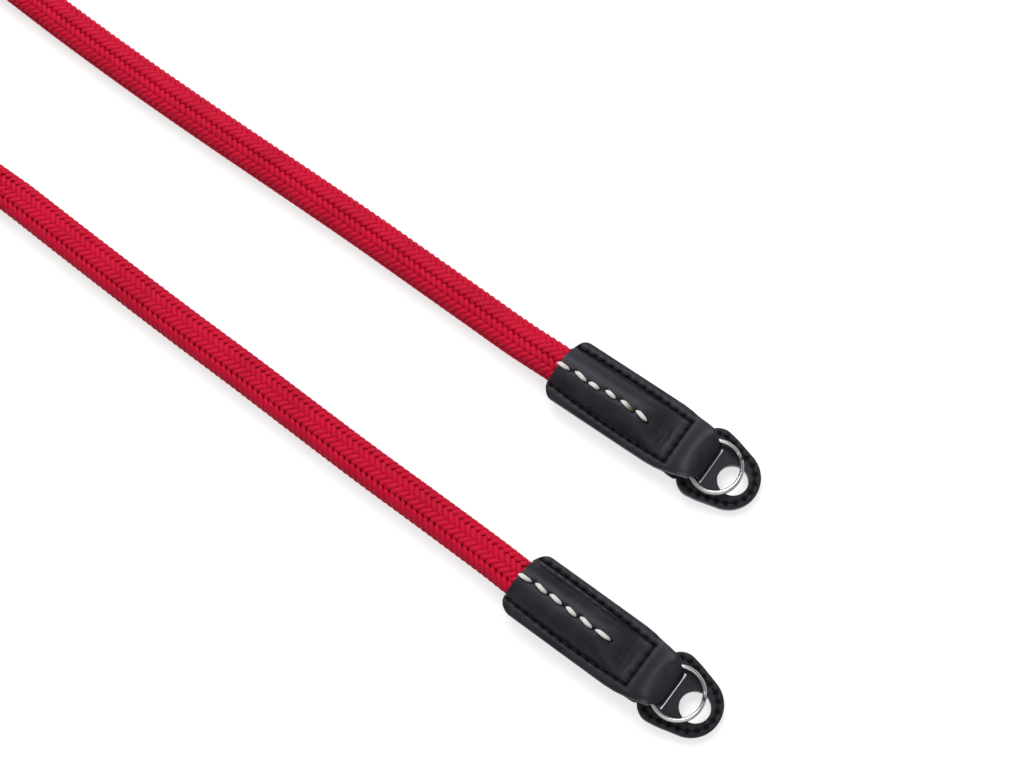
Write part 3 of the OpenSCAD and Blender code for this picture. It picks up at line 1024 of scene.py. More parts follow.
@dataclass
class FloatMesh:
    """Collects many small closed shells into one mesh with UVs and a number called sink, which is painted
    shade: high on the floats' flanks, undersides and tips and on the core.
    """

    points: list[Vector] = field(default_factory=list)
    faces: list[tuple[int, ...]] = field(default_factory=list)
    uvs: list[Pair] = field(default_factory=list)
    sink: list[float] = field(default_factory=list)
    tip_power: int = 6
    tip_taper: float = 0.62
    tip_out: float = 0.10
    # painted shade at the floats' tips: where it begins, and how strong it is at the groove end and at the
    # plait end
    tip_from: float = 0.66
    groove_tip_shade: float = 2.3
    plait_tip_shade: float = 1.3

    def _add(self, point: Vector, uv: Pair, sink: float) -> None:
        """Adds one point."""
        self.points.append(point)
        self.uvs.append(uv)
        self.sink.append(sink)

    def _bands(self, base: int, rings: int, around: int) -> None:
        """Adds the faces between rings of points that begin at the number base."""
        for row in range(base, base + (rings - 1) * around, around):
            for k in range(around):
                j = (k + 1) % around
                self.faces.append((row + k, row + j, row + around + j, row + around + k))

    def tube(self, rings: Sequence[Sequence[Vector]]) -> None:
        """Adds a closed tube that is painted fully dark, as the shade seen in the gaps between the floats."""
        base, around = len(self.points), len(rings[0])
        for i, ring in enumerate(rings):
            for k, p in enumerate(ring):
                self._add(p, (k / around, i * 1.0), 1.0)
        self._bands(base, len(rings), around)
        last = base + (len(rings) - 1) * around
        self.faces.append(tuple(base + k for k in reversed(range(around))))
        self.faces.append(tuple(last + k for k in range(around)))

    def sausage(
        self, line: Sequence[Vector], outs: Sequence[Vector], width: float, height: float, around: int
    ) -> None:
        """Adds one float along a line.

        Args:
            line: the points of its middle.
            outs: the outward direction at each point.
            width: its width across.
            height: its thickness.
            around: its number of sides.
        """
        base, rings = len(self.points), len(line)
        for i, (p, out) in enumerate(zip(line, outs)):
            ahead = (line[min(i + 1, rings - 1)] - line[max(i - 1, 0)]).normalized()
            side = out.cross(ahead).normalized()
            up = ahead.cross(side)
            t = i / (rings - 1)
            taper = 1 - (2 * t - 1) ** self.tip_power * self.tip_taper
            # painted shade: the float's flanks and underside, and its tips where it passes under its
            # neighbours, get a higher sink
            darkest = self.groove_tip_shade if t < 0.5 else self.plait_tip_shade
            dark = max(0.0, abs(2 * t - 1) - self.tip_from) * darkest
            for k in range(around):
                c, s = math.cos(math.tau * k / around), math.sin(math.tau * k / around)
                x = math.copysign(abs(c) ** 0.8, c) * width / 2 * taper
                y = math.copysign(abs(s) ** 0.9, s) * height / 2 * taper
                self._add(p + side * x + up * y, (t, k / around), min(1.0, max(0.0, 0.50 - 0.80 * s) + dark))
        for u, tip, inner in ((0.0, line[0], line[1]), (1.0, line[-1], line[-2])):
            self._add(tip + (tip - inner).normalized() * width * self.tip_out, (u, 0.5), 1.0)
        self._bands(base, rings, around)
        first, last, end = base + rings * around, base + rings * around + 1, base + (rings - 1) * around
        for k in range(around):
            j = (k + 1) % around
            self.faces += [(first, base + j, base + k), (last, end + k, end + j)]

    def build(self, name: str) -> bpy.types.Object:
        """Makes the object, in metres, with outward faces."""
        data = bpy.data.meshes.new(name)
        data.from_pydata([p * MM for p in self.points], [], self.faces)
        corners = [0] * len(data.loops)
        data.loops.foreach_get("vertex_index", corners)
        flat = [value for corner in corners for value in self.uvs[corner]]
        data.uv_layers.new(name="UVMap").data.foreach_set("uv", flat)
        data.polygons.foreach_set("use_smooth", [True] * len(data.polygons))
        obj = new_object(name, data)
        keep_number(obj, "sink", self.sink)
        tidy_faces(obj)
        return obj


def make_cord(a: EndFrame) -> None:
    """Makes the whole cord, which starts at end a, in three stretches."""
    route = CordRoute(a)
    braid = BraidedCord(route)
    first, second = route.joints
    for name, node, start, end, detail, lay, step in (
        ("braided_cord_a", "cord_run_a", 0.0, first, FloatDetail.SEEN, "loose", 12.0),
        ("braided_cord_coil", "cord_coil", first, second, FloatDetail.AWAY, "coiled", 8.0),
        ("braided_cord_b", "cord_run_b", second, route.length, FloatDetail.SEEN, "loose", 12.0),
    ):
        piece = braid.stretch(name, start, end, detail)
        dress(piece, "strap", "cord", node, Finish.BRAID)
        count = max(15, round((end - start) / step))
        path = [tuple(route.at(start + (end - start) * i / count)[0] * MM) for i in range(count + 1)]
        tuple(path[0])
        (end - start) * MM
    log.info("free cord: %.0f mm", route.length)


# ---------------------------------------------------------------- leather tab


@dataclass
class SeamLine:
    """Where one tab's hand-sewn seams run, in millimetres from its mouth and its middle.

    upper and lower are the side seams' distances from the middle near the mouth, half way and at the far
    end. middle holds the pale stitches, each from one hole to the next. mouth says how far the upper and
    the lower corner of the mouth stand back, and stained which pale stitch has a stain.
    """

    upper: Triple
    lower: Triple
    middle: tuple[tuple[float, float, float, float], ...]
    pitch: float
    start: float
    mouth: Pair
    stained: int = -1

    def side(self, t: float, up: bool) -> float:
        """The seam's distance from the middle at a share of its length from the mouth."""
        near, mid, far = self.upper if up else self.lower
        return near * (1 - t) * (1 - 2 * t) + 4 * mid * t * (1 - t) + far * t * (2 * t - 1)


@dataclass
class LeatherTab:
    """The folded strip: two layers over the cord, sewn, and a loop round the ring and the guard.

    A press, a round or a fall is a depth and the width over which it happens. taper gives the share of the
    tab's width that is left at distances past the cross seam.
    """

    frame: EndFrame
    sewn: SeamLine
    step: float = 0.26
    across: int = 84
    rise_steps: int = 16
    fold_steps: int = 16
    leg_steps: int = 6
    bend_steps: int = 8
    back_steps: int = 20
    fold_power: float = 1.75
    bend_in: float = 0.4
    entry_up: float = 2.35
    foot_back: float = 0.2
    wire_ease: float = 0.06
    wire_ahead: float = 0.15
    hole_w: float = 0.74
    middle_hole_w: float = 0.56
    hole_depth: float = 0.36
    mouth_l: float = 8.0
    settle_steps: int = 6
    end_over: float = 1.2
    end_back: float = 0.3
    end_l: float = 14.5
    end_sink: float = 0.25
    crest_round: float = 1.8
    foot_round: float = 0.42
    foot_sink: float = 0.05
    seam_press: Pair = (0.20, 0.6)
    middle_press: Pair = (0.12, 1.0)
    middle_y: float = 0.1
    edge_round: Pair = (0.30, 0.8)
    border_fall: Pair = (0.30, 2.6)
    border_from: float = 0.2
    taper: tuple[Pair, ...] = (
        (-4.5, 1.0), (-1.6, 0.95), (0.6, 0.85), (2.6, 0.73), (4.2, 0.60), (6.0, 0.42), (7.1, 0.26),
        (8.0, 0.11), (8.7, 0.0),
    )

    def __post_init__(self) -> None:
        """Works out the seam's holes, the strip's course and its half width along it."""
        f = self.frame
        self.span = f.seam_x - self.sewn.start
        count = round(self.span / self.sewn.pitch)
        upper, lower = (self._side_holes(count, up) for up in (True, False))
        top, bottom = upper[-1][1], lower[-1][1]
        rows = round((top - bottom) / self.sewn.pitch)
        cross = [(f.seam_x, top + (bottom - top) * i / rows) for i in range(1, rows)]
        self.seam = [*upper, *cross, *reversed(lower)]
        self.ends = [(x, y) for stitch in self.sewn.middle for x, y in (stitch[:2], stitch[2:]) if x > 2]
        self.flat = round(f.neck_x / self.step)
        self.plan = self.profile(0.0)
        self.halves = [
            self.half_width(x) if z > f.mid_z - 3 or x < f.leg_x - 1 else f.neck_w / 2 for x, z in self.plan
        ]

    def _side_holes(self, count: int, up: bool) -> list[Pair]:
        """The holes along one side."""
        sign = 1 if up else -1
        return [
            (self.sewn.start + self.span * i / count, sign * self.sewn.side(i / count, up))
            for i in range(count + 1)
        ]

    def profile(self, y: float) -> list[Pair]:
        """The strip's course: from the mouth, over the ring's wire, down through the slot and back below.

        Args:
            y: the distance from the strip's middle line.

        Returns:
            The x and z of the middle of the strip's thickness.
        """
        f = self.frame
        apart = f.strip_t / 2 + f.layer_gap / 2
        up, low = f.mid_z + apart, f.mid_z - apart
        set_back = math.sqrt(f.ring_rc ** 2 - min(abs(y), f.ring_rc * 0.8) ** 2)
        ridge_x = f.ring_centre[0] - set_back + self.wire_ahead
        wire_z = f.ring_centre[1] - (ridge_x - f.ring_centre[0]) * math.tan(f.tilt)
        over = f.turn_dz + f.wire / 2 + self.wire_ease + f.loop_t / 2
        ridge_z = wire_z + over + (f.ring_rc - set_back) * math.sin(f.ring_lift)
        entry = f.guard_z + self.entry_up
        foot = (f.guard_x - self.foot_back, f.loop_t / 2)
        bend = f.loop_t / 2 + self.bend_in
        line = [(f.neck_x * i / self.flat, up) for i in range(self.flat + 1)]
        line += self._slope((f.neck_x, up), (ridge_x, ridge_z), self.rise_steps)[1:]
        for k in range(1, self.fold_steps + 1):
            t = math.pi / 2 * k / self.fold_steps
            dx = math.sin(t) ** (2 / self.fold_power) * (f.leg_x - ridge_x)
            dz = (1 - math.cos(t) ** (2 / self.fold_power)) * (ridge_z - entry)
            line.append((ridge_x + dx, ridge_z - dz))
        drop = f.loop_t / 2 + bend - entry
        line += [(f.leg_x, entry + drop * k / self.leg_steps) for k in range(1, self.leg_steps + 1)]
        for k in range(1, self.bend_steps + 1):
            t = math.pi / 2 * k / self.bend_steps
            line.append((f.leg_x - bend + bend * math.cos(t), f.loop_t / 2 + bend - bend * math.sin(t)))
        line += reversed(self._slope((f.neck_x, low), foot, self.back_steps))
        line += [(f.neck_x * i / self.flat, low) for i in range(self.flat - 1, -1, -1)]
        return line

    @staticmethod
    def _slope(p: Pair, q: Pair, steps: int) -> list[Pair]:
        """The points of a smooth slope between two levels."""
        (x0, z0), (x1, z1) = p, q
        shares = [k / steps for k in range(steps + 1)]
        return [(x0 + (x1 - x0) * t, z0 + (z1 - z0) * smooth(t)) for t in shares]

    def half_width(self, x: float) -> float:
        """The strip's half width at a distance from the mouth."""
        f = self.frame
        wide, neck = f.tab_w / 2, f.neck_w / 2
        if x < f.corner_r:
            return wide - f.corner_r + math.sqrt(max(f.corner_r ** 2 - (f.corner_r - x) ** 2, 0.0))
        past = x - f.seam_x
        if past <= self.taper[0][0]:
            return wide
        for (x0, s0), (x1, s1) in zip(self.taper, self.taper[1:]):
            if past <= x1:
                return neck + (wide - neck) * (s0 + (s1 - s0) * (past - x0) / (x1 - x0))
        return neck

    def bulge(self, x: float, y: float) -> float:
        """How far the strip stands off its border over the cord."""
        f = self.frame
        r = f.room_r + f.strip_t / 2
        dome = math.sqrt(max(r * r - y * y, 0.0)) - f.room_dz - f.strip_t / 2 - max(0.0, abs(y) - r) * 2
        fall = smooth((f.seam_x - self.end_back - x) / self.end_l)
        end = (f.half_in + self.end_over) * fall - self.end_sink
        return soft_positive(soft_min(dome, end, self.crest_round), self.foot_round) - self.foot_sink

    def pit_and_shade(self, x: float, y: float) -> float:
        """How near a point is to the thread's holes, from 0 to 1, and about a third along the seam line; it
        sets both the dent there and its painted shade.
        """
        near = max(bell(math.dist((x, y), hole), self.hole_w) for hole in self.seam)
        middle = max(bell(math.dist((x, y), hole), self.middle_hole_w) for hole in self.ends)
        return max(near, middle, 0.34 * self.near_seam(x, y, 0.50))

    def seam_side(self, x: float, y: float) -> float:
        """The distance of the side seam from the middle line beside a point."""
        return self.sewn.side(min(max((x - self.sewn.start) / self.span, 0.0), 1.0), y > 0)

    def near_seam(self, x: float, y: float, width: float) -> float:
        """How near a point is to the black seam's line, from 0 to 1, over a width."""
        seam_x, line = self.frame.seam_x, self.seam_side(x, y)
        side = abs(abs(y) - line) if x < seam_x else math.dist((x, abs(y)), (seam_x, line))
        return bell(min(side, abs(x - seam_x)) if abs(y) < line else side, width)

    def line_press(self, x: float, y: float) -> float:
        """How far the leather is drawn down along the seams."""
        last = self.sewn.middle[-1][2]
        inside = -1 < x < last + 0.4
        middle = abs(y - self.middle_y) if inside else math.dist((x, y), (last, self.middle_y))
        (depth, width), (middle_depth, middle_width) = self.seam_press, self.middle_press
        return depth * self.near_seam(x, y, width) + middle_depth * bell(middle, middle_width)

    def border_drop(self, x: float, y: float, half: float) -> float:
        """How far the outer face rounds down towards the outline, where the half width is half."""
        past = abs(y) - self.seam_side(x, y) - self.border_from if x < self.frame.seam_x else 0.0
        (rounded, width), (fallen, fall_width) = self.edge_round, self.border_fall
        return rounded * bell(half - abs(y), width) + fallen * smooth(past / fall_width)

    def creases(self, x: float, y: float) -> float:
        """Soft creases where the leather falls from the cord's end to the cross seam."""
        fine = math.sin(x * 3.6 + 0.7 * math.sin(y * 1.3) + 0.25 * y)
        waves = fine + 0.6 * math.sin(x * 2.1 - 0.5 * y + 1.0)
        return 0.040 * waves * bell(x - self.frame.seam_x + 3.6, 3.0) * bell(y + 1.5, 4.2)

    def make(self) -> None:
        """Makes the strip and gives it its finish."""
        f = self.frame
        count = len(self.plan) - 1
        kept: dict[int, list[Pair]] = {}

        def sewn_down(x: float, i: int, y: float) -> float:
            """How far the strip's middle stands off its border, with its seams pressed in."""
            pressed = self.line_press(self.plan[i][0], y)
            return self.bulge(x, y) - pressed - self.border_drop(x, y, self.halves[i]) / 2

        def shape(u: float, v: float) -> Vector:
            """A point of the strip."""
            i, j = round(u * count), round(v * self.across)
            y = (2 * v - 1) * self.halves[i]
            up = i < count / 2
            past = (i if up else count - i) - self.flat
            if past <= 0:
                x, z = self.plan[i]
                off = sewn_down(x, i, y) - self.hole_depth * self.pit_and_shade(x, y)
                off += self.creases(x, y) if up else 0.0
                share = 0.5 + y / f.tab_w
                back = self.sewn.mouth[0] * share + self.sewn.mouth[1] * (1 - share)
                x += back * max(0.0, 1 - x / self.mouth_l) ** 2
            else:
                if j not in kept:
                    kept[j] = self.profile((2 * v - 1) * f.neck_w / 2)
                x, z = kept[j][i]
                off = sewn_down(f.neck_x, i, y) * max(0.0, 1 - past / self.settle_steps)
            return Vector((x, y, z + (off if up else -off))) * MM

        strip = shaped_grid(f.named("leather_tab"), count, self.across, shape)
        places = [vertex.co / MM for vertex in strip.data.vertices]
        thin = strip.vertex_groups.new(name="thickness")
        for index, (x, y, _) in enumerate(places):
            half = self.half_width(max(x, 0.0)) if x < f.leg_x - 1 else f.neck_w / 2
            thin.add([index], 1 - min(self.border_drop(x, y, half), 0.7) / f.loop_t, "REPLACE")
        # the same nearness, kept on the mesh, paints shade into the holes and along the seam lines
        keep_number(strip, "pit_and_shade", [self.pit_and_shade(x, y) if x < f.neck_x + 0.5 else 0.0 for x, y, _ in places])
        thicken(strip, f.loop_t, "thickness")
        soften(strip, 0.26, 3, 55)
        dress(strip, "strap", "leather", f.named("tab_leather"), Finish.LEATHER, Finish.EDGE)
        apply_modifiers(strip)
        bpy.ops.object.shade_smooth()
        f.settle(strip)


# ---------------------------------------------------------------- threads


@dataclass
class Thread:
    """A plied thread that is laid stitch by stitch; each stitch starts as a ball that is drawn out."""

    radius: float
    twist: float
    dip: float
    lobe: float = 0.12
    segments: int = 10
    rings: int = 9
    tip: float = 5.0
    plies: int = 3
    arch_steps: int = 8
    arch_power: float = 3.2

    def stitch(self, line: Sequence[Vector], stain: float = 0.0) -> bpy.types.Object:
        """Lays one stitch.

        Args:
            line: the points of its middle, in millimetres in the end's frame.
            stain: how stained it is, from 0 to 1.

        Returns:
            The stitch.
        """
        obj = primitive(
            bpy.ops.mesh.primitive_uv_sphere_add, "stitch",
            segments=self.segments, ring_count=self.rings, radius=1.0,
        )
        run = run_lengths(line)
        for vertex in obj.data.vertices:
            x, y, z = vertex.co
            t = math.acos(max(-1.0, min(1.0, -z))) / math.pi
            j, share = spot(run, run[-1] * t)
            ahead = (line[min(j + 2, len(line) - 1)] - line[max(j - 1, 0)]).normalized()
            side = ahead.cross(Vector((0, 0, 1)))
            side = side.normalized() if side.length > 0.05 else Vector((0, 1, 0))
            up = side.cross(ahead).normalized()
            angle = math.atan2(y, x)
            blunt = 1 - abs(2 * t - 1) ** self.tip
            r = self.radius * blunt * (1 + self.lobe * math.cos(self.plies * (angle + self.twist * t)))
            middle = line[j].lerp(line[j + 1], share)
            vertex.co = (middle + side * (math.cos(angle) * r) + up * (math.sin(angle) * r)) * MM
        obj.data.polygons.foreach_set("use_smooth", [True] * len(obj.data.polygons))
        spread = [smooth((v.co.x / MM - line[0].x) / 3.2 - 0.3) for v in obj.data.vertices]
        keep_number(obj, "stain", [stain * share for share in spread])
        return obj

    def arch(self, p: Vector, q: Vector, up: int, crown: float) -> list[Vector]:
        """A line from one hole to the next: it dips at both and lies proud between them.

        Args:
            p: the first hole.
            q: the second hole.
            up: 1 on an upper face, -1 on a lower one.
            crown: how far it stands proud.

        Returns:
            The line's points.
        """
        made = []
        for t in (i / self.arch_steps for i in range(self.arch_steps + 1)):
            lift = crown - (crown + self.dip) * abs(2 * t - 1) ** self.arch_power
            made.append(p.lerp(q, t) + Vector((0, 0, up)) * lift)
        return made


@dataclass
class TabSewing:
    """The black seam and the pale middle thread of one tab."""

    tab: LeatherTab
    black: Thread = field(default_factory=lambda: Thread(0.33, 4.0, 0.80))
    pale: Thread = field(default_factory=lambda: Thread(0.55, 3.4, 0.75, 0.13, 24, 27, 3.0))
    black_in: float = 0.02
    black_inset: float = 0.20
    black_slip: Pair = (0.04, 0.18)
    pale_in: float = 0.10
    pale_crown: float = 0.34
    over_mouth: tuple[Pair, ...] = (
        (-0.04, -1.3), (-0.06, -0.6), (0.0, -0.05), (0.18, 0.26), (0.45, 0.36), (0.75, 0.20), (1.0, -0.5),
    )
    seed: int = 5

    def make_seam(self) -> None:
        """Sews the black seam on both faces."""
        f = self.tab.frame
        noise = random.Random(self.seed)
        stitches = []
        for up in (1, -1):
            z = f.mid_z + up * (f.strip_t - self.black_in)
            for p, q in zip(self.tab.seam, self.tab.seam[1:]):
                a, b = Vector((*p, z)), Vector((*q, z))
                ahead = (b - a).normalized()
                slip = Vector((-ahead.y, ahead.x, 0)) * noise.uniform(*self.black_slip)
                inset = ahead * self.black_inset
                line = self.black.arch(a + inset - slip, b - inset + slip, up, 0.0)
                stitches.append(self.black.stitch(line))
        seam = join(stitches, f.named("black_seam"))
        dress(seam, "strap", "black_thread", f.named("tab_seam"), Finish.BLACK)
        f.settle(seam)

    def make_centre(self) -> None:
        """Sews the pale thread down the middle, hooked over the mouth's edge; below, it lies flat."""
        f, sewn = self.tab.frame, self.tab.sewn
        stitches = []
        for up in (1, -1):
            z = f.mid_z + up * (f.half_in + f.strip_t - self.pale_in)
            x0, y0, x1, y1 = sewn.middle[0]
            edge = []
            for t, dz in self.over_mouth:
                rise = dz if up > 0 else min(dz, 0.0)
                edge.append(Vector((x0 + (x1 - x0) * t, y0 + (y1 - y0) * max(t, 0.0), z + up * rise)))
            stitches.append(self.pale.stitch(edge))
            for i, (x0, y0, x1, y1) in enumerate(sewn.middle[1:]):
                crown = self.pale_crown if up > 0 else 0.0
                line = self.pale.arch(Vector((x0, y0, z)), Vector((x1, y1, z)), up, crown)
                stitches.append(self.pale.stitch(line, 1.0 if i == sewn.stained and up > 0 else 0.0))
        seam = join(stitches, f.named("pale_seam"))
        dress(seam, "strap", "pale_thread", f.named("centre_thread"), Finish.PALE)
        f.settle(seam)


@dataclass
class CordStub:
    """The squeezed end of the cord inside one tab, and the thread wound round its cut end."""

    tab: LeatherTab
    length: float = 30.0
    steps: tuple[int, int] = (80, 36)
    fall_past: float = 1.5
    fall_l: float = 10.0
    headroom: float = 0.30
    slack: Pair = (0.15, 0.12)
    band: Pair = (26.8, 29.1)
    band_turns: int = 7
    band_out: float = 0.05
    thread_r: float = 0.2

    def _half(self, x: float) -> Pair:
        """Half the stub's width and height at a distance from the mouth."""
        f = self.tab.frame
        fall = smooth((self.length + self.fall_past - x) / self.fall_l)
        room = self.tab.bulge(max(x, 0.0), 0.0) - self.headroom
        width, height = f.cord_w / 2 - self.slack[0], f.half_in - self.slack[1]
        return width * (0.50 + 0.50 * fall), max(0.5, min(height, room))

    def make(self) -> None:
        """Makes the stub and its binding."""
        f = self.tab.frame

        def shape(u: float, v: float) -> Vector:
            """A point of the stub."""
            x = u * self.length
            w, h = self._half(x)
            close = math.sqrt(max(0.0, 1 - max(0.0, (u - 0.95) / 0.05) ** 2))
            rib = 1 + 0.02 * math.sin(x * 5.0 + 8 * math.tau * v)
            a = math.tau * v
            return Vector((x, w * close * rib * math.cos(a), f.mid_z + h * close * rib * math.sin(a))) * MM

        stub = shaped_grid(f.named("cord_stub"), *self.steps, shape)
        tidy_faces(stub, merge=0.002, close=True)
        bpy.ops.object.shade_smooth()
        dress(stub, "strap", "cord", f.named("cord_end"), Finish.BRAID)
        f.settle(stub)
        turns = [self._turn(k / (self.band_turns - 1)) for k in range(self.band_turns)]
        band = join(turns, f.named("end_binding"))
        dress(band, "strap", "pale_thread", f.named("cord_binding"), Finish.PALE)
        f.settle(band)

    def _turn(self, share: float) -> bpy.types.Object:
        """Makes one turn of the binding, at a share of its width."""
        turn = primitive(
            bpy.ops.mesh.primitive_torus_add, "turn", major_segments=40, minor_segments=6, major_radius=1.0,
            minor_radius=self.thread_r * MM,
        )
        x = self.band[0] + (self.band[1] - self.band[0]) * share
        w, h = self._half(x)
        for vertex in turn.data.vertices:
            a = math.atan2(vertex.co.y, vertex.co.x)
            out = (math.hypot(vertex.co.x, vertex.co.y) - 1.0) / MM + self.band_out
            y, z = (w + out) * math.cos(a), self.tab.frame.mid_z + (h + out) * math.sin(a)
            vertex.co = Vector((x + vertex.co.z / MM, y, z)) * MM
        return turn


# ---------------------------------------------------------------- guard and ring


@dataclass
class GuardPad:
    """Two layers of leather with a round hole and a slot, sewn near their edge; it lies under the ring."""

    frame: EndFrame
    inset: float = 1.5
    corner_r: float = 4.8
    tip_r: float = 8.2
    hole_r: float = 4.0
    hole_from_tip: float = 6.9
    around: int = 200
    out: int = 40
    outline_steps: int = 72
    seam_steps: int = 180
    pitch: float = 2.45
    hole_w: float = 0.76
    hole_press: float = 0.22
    seam_press: Pair = (0.16, 0.5)
    edge_round: Pair = (0.30, 0.8)
    press_share: float = 0.8
    cutter_h: float = 12.0
    thread: Thread = field(default_factory=lambda: Thread(0.29, 4.0, 0.55))
    thread_in: float = 0.24
    thread_inset: float = 0.16
    thread_crown: float = 0.02

    def __post_init__(self) -> None:
        """Works out the outline and the seam's holes."""
        f = self.frame
        r, side = self.corner_r, f.guard_w / 2 - self.corner_r
        self.discs = ((r, side, r), (r, -side, r), (f.guard_l - self.tip_r, 0.0, self.tip_r))
        self.hole_u = f.guard_l - self.hole_from_tip
        line = [self.edge_at(math.tau * k / self.seam_steps, self.inset) for k in range(self.seam_steps + 1)]
        run = run_lengths(line)
        count = round(run[-1] / self.pitch)
        self.holes: list[Pair] = []
        for k in range(count):
            j, t = spot(run, run[-1] * k / count)
            u, v = (a + (b - a) * t for a, b in zip(line[j], line[j + 1]))
            self.holes.append((u, v))

    def from_edge(self, u: float, v: float) -> float:
        """Distance inwards from the outline, which goes round three discs."""
        best = math.inf
        for a in (math.tau * k / self.outline_steps for k in range(self.outline_steps)):
            c, s = math.cos(a), math.sin(a)
            best = min(best, max(x * c + y * s + r for x, y, r in self.discs) - u * c - v * s)
        return best

    def edge_at(self, angle: float, inset: float = 0.0) -> Pair:
        """The point where a ray from the hole's centre crosses the outline, drawn in by an inset."""
        low, high = 0.0, 20.0
        c, s = math.cos(angle), math.sin(angle)
        for _ in range(18):
            mid = (low + high) / 2
            if self.from_edge(self.hole_u + mid * c, mid * s) > inset:
                low = mid
            else:
                high = mid
        return self.hole_u + low * c, low * s

    def layer(self, kind: str, node: str, w: float, face: int) -> None:
        """Makes one layer.

        Args:
            kind: upper or lower.
            node: the kind of node that it stands for.
            w: the height of its middle above the guard's underside.
            face: 1 if its upper face shows, -1 if its lower one does.
        """
        f = self.frame
        turns = [math.tau * k / self.around for k in range(self.around)]
        rims = [self.edge_at(turn) for turn in turns]

        def shape(a: float, b: float) -> Vector:
            """A point of the layer's middle."""
            k = round(a * self.around) % self.around
            inner = (self.hole_u + self.hole_r * math.cos(turns[k]), self.hole_r * math.sin(turns[k]))
            u, v = (near + (far - near) * b ** 0.85 for near, far in zip(inner, rims[k]))
            return Vector((u, v, w)) * MM

        pad = shaped_grid(f.named(f"guard_{kind}"), self.around, self.out, shape)
        tidy_faces(pad, merge=0.01)
        pit_shades = []
        for vertex in pad.data.vertices:
            u, v, _ = vertex.co / MM
            near = max(bell(math.dist((u, v), hole), self.hole_w) for hole in self.holes)
            edge = self.from_edge(u, v)
            (depth, width), (rounded, edge_width) = self.seam_press, self.edge_round
            drop = depth * bell(edge - self.inset, width) + self.hole_press * near
            drop += rounded * bell(edge, edge_width)
            # painted shade in the seam's holes and, at about a third, along the seam line
            pit_shades.append(max(near, 0.34 * bell(edge - self.inset, 0.45)))
            vertex.co.z -= face * drop * MM * self.press_share
        keep_number(pad, "pit_and_shade", pit_shades)
        dress(pad, f.named("guard"), "leather", f.named(node), Finish.LEATHER, Finish.EDGE)
        thicken(pad, f.guard_layer - f.layer_gap / 2)
        apply_modifiers(pad)
        self._cut_slot(pad)
        soften(pad, 0.22, 3, 55)
        apply_modifiers(pad)
        bpy.ops.object.shade_smooth_by_angle(angle=math.radians(50))
        f.settle(pad, in_guard=True)

    def _cut_slot(self, pad: bpy.types.Object) -> None:
        """Cuts the slot that the strip goes through."""
        f = self.frame
        half = f.neck_w / 2 + f.slot_ease
        cutter = primitive(bpy.ops.mesh.primitive_cube_add, "cutter", size=1.0)
        for vertex in cutter.data.vertices:
            x, y, z = vertex.co
            vertex.co = Vector((f.slot_u + (x + 0.5) * f.slot_w, y * 2 * half, z * self.cutter_h)) * MM
        cut = pad.modifiers.new("slot", "BOOLEAN")
        cut.object = cutter
        cut.operation = "DIFFERENCE"
        cut.solver = "EXACT"
        apply_modifiers(pad)
        bpy.data.objects.remove(cutter)

    def make(self) -> None:
        """Makes both layers and their seam."""
        f = self.frame
        self.layer("lower", "guard_bottom", f.guard_layer / 2, -1)
        self.layer("upper", "guard_top", f.guard_layer * 1.5, 1)
        stitches = []
        for up, z in ((1, f.guard_t - self.thread_in), (-1, self.thread_in)):
            for p, q in zip(self.holes, [*self.holes[1:], self.holes[0]]):
                a, b = Vector((*p, z)), Vector((*q, z))
                inset = (b - a).normalized() * self.thread_inset
                line = self.thread.arch(a + inset, b - inset, up, self.thread_crown)
                stitches.append(self.thread.stitch(line))
        seam = join(stitches, f.named("guard_stitches"))
        dress(seam, f.named("guard"), "black_thread", f.named("guard_seam"), Finish.BLACK)
        f.settle(seam, in_guard=True)


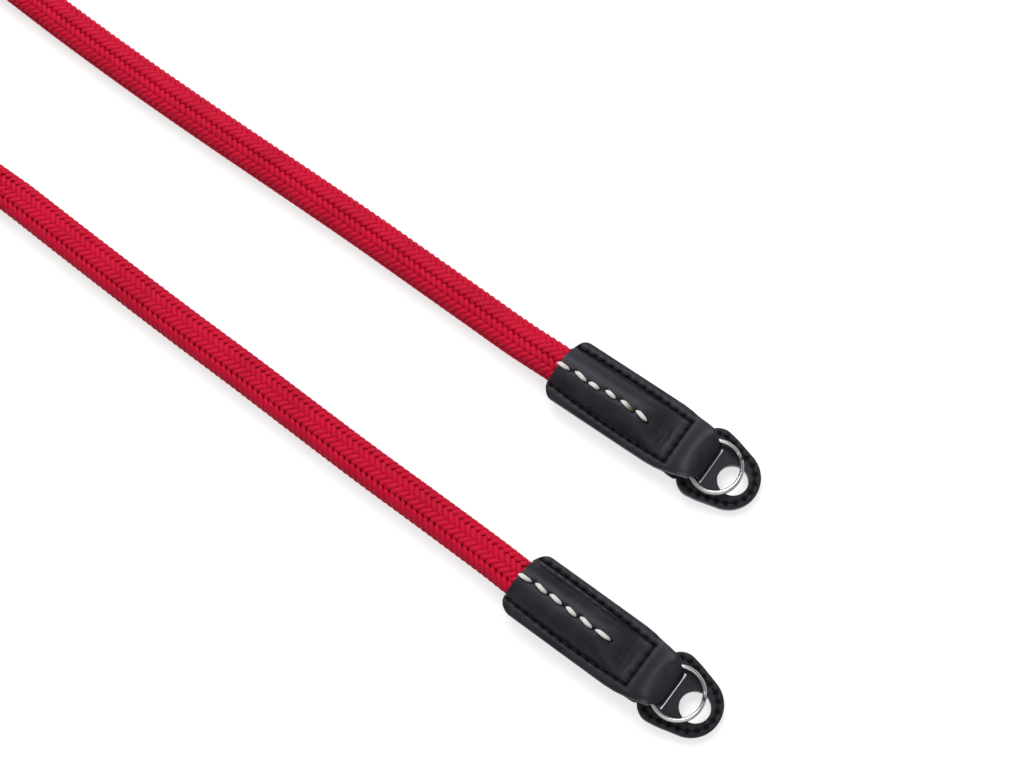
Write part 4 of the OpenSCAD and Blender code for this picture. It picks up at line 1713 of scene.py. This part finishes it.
@dataclass
class SplitRing:
    """A ring of two wire turns with a crank between them and two cut ends."""

    frame: EndFrame
    crank_span: float = 16.0
    cut_span: float = 4.0
    steps: int = 260
    groove_shade_w: float = 0.24

    def make(self) -> None:
        """Bends the wire and gives it its finish."""
        f = self.frame
        curve = bpy.data.curves.new("wire", "CURVE")
        curve.dimensions = "3D"
        curve.bevel_depth = f.wire / 2 * MM
        curve.bevel_resolution = 6
        curve.use_fill_caps = True
        spline = curve.splines.new("POLY")
        spline.points.add(self.steps)
        total = 720 - self.crank_span - 2 * self.cut_span
        for i, point in enumerate(spline.points):
            angle = self.cut_span + total * i / self.steps
            rise = smooth((angle - (360 - self.crank_span)) / self.crank_span)
            a = math.radians(angle + f.crank_deg)
            z = f.ring_w + f.turn_dz * (2 * rise - 1)
            place = Vector((f.ring_u + f.ring_rc * math.cos(a), f.ring_rc * math.sin(a), z)) * MM
            point.co = (*place, 1.0)
        only(new_object(f.named("ring"), curve))
        bpy.ops.object.convert(target="MESH")
        ring = bpy.context.object
        soften(ring, 0.10, 2, 60)
        dress(ring, f.named("ring"), "ring_steel", f.named("split_ring"), Finish.STEEL)
        apply_modifiers(ring)
        bpy.ops.object.shade_smooth_by_angle(angle=math.radians(40))
        # a narrow band of painted shade where the two turns meet
        keep_number(ring, "groove", [bell(v.co.z / MM - f.ring_w, self.groove_shade_w) for v in ring.data.vertices])
        f.settle(ring, in_guard=True)


@dataclass
class StrapEnd:
    """Everything at one end of the cord."""

    frame: EndFrame
    sewn: SeamLine

    def make(self) -> None:
        """Makes the end's pieces."""
        tab = LeatherTab(self.frame, self.sewn)
        tab.make()
        sewing = TabSewing(tab)
        sewing.make_seam()
        sewing.make_centre()
        GuardPad(self.frame).make()
        SplitRing(self.frame).make()
        CordStub(tab).make()


def main() -> None:
    """Builds the studio, the cord and both ends."""
    logging.basicConfig(level=logging.INFO, format="%(name)s %(message)s")
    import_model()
    a = EndFrame("a", (-42.9, 25.9), 0.75, 68.0)
    b = EndFrame("b", (-17.3, -25.5), -0.6, 40.0)
    studio = Studio()
    studio.place_camera()
    make_cord(a)
    studio.lay_table()
    studio.light()
    sewn_a = SeamLine(
        upper=(6.45, 6.80, 6.15),
        lower=(5.75, 6.70, 6.35),
        middle=(
            (0.4, -0.76, 3.8, -0.64), (5.0, -0.20, 9.1, -0.75), (9.7, -0.72, 13.0, -0.60),
            (14.5, -0.04, 17.9, -0.30), (19.1, 0.06, 23.6, -0.60), (23.9, 0.0, 27.9, -0.78),
        ),
        pitch=2.55, start=1.3, mouth=(0.7, 0.3), stained=3,
    )
    sewn_b = SeamLine(
        upper=(7.20, 7.05, 6.20),
        lower=(5.80, 6.50, 5.90),
        middle=(
            (-0.3, 0.30, 3.2, 0.65), (4.0, 0.95, 8.0, 0.45), (8.6, 0.80, 12.7, 0.48),
            (13.8, 0.64, 17.4, 0.20), (18.1, 0.64, 22.3, 0.10), (23.0, 0.30, 27.8, 0.38),
        ),
        pitch=2.72, start=0.7, mouth=(0.0, -0.9),
    )
    StrapEnd(a, sewn_a).make()
    StrapEnd(b, sewn_b).make()


if __name__ == "__main__":
    main()
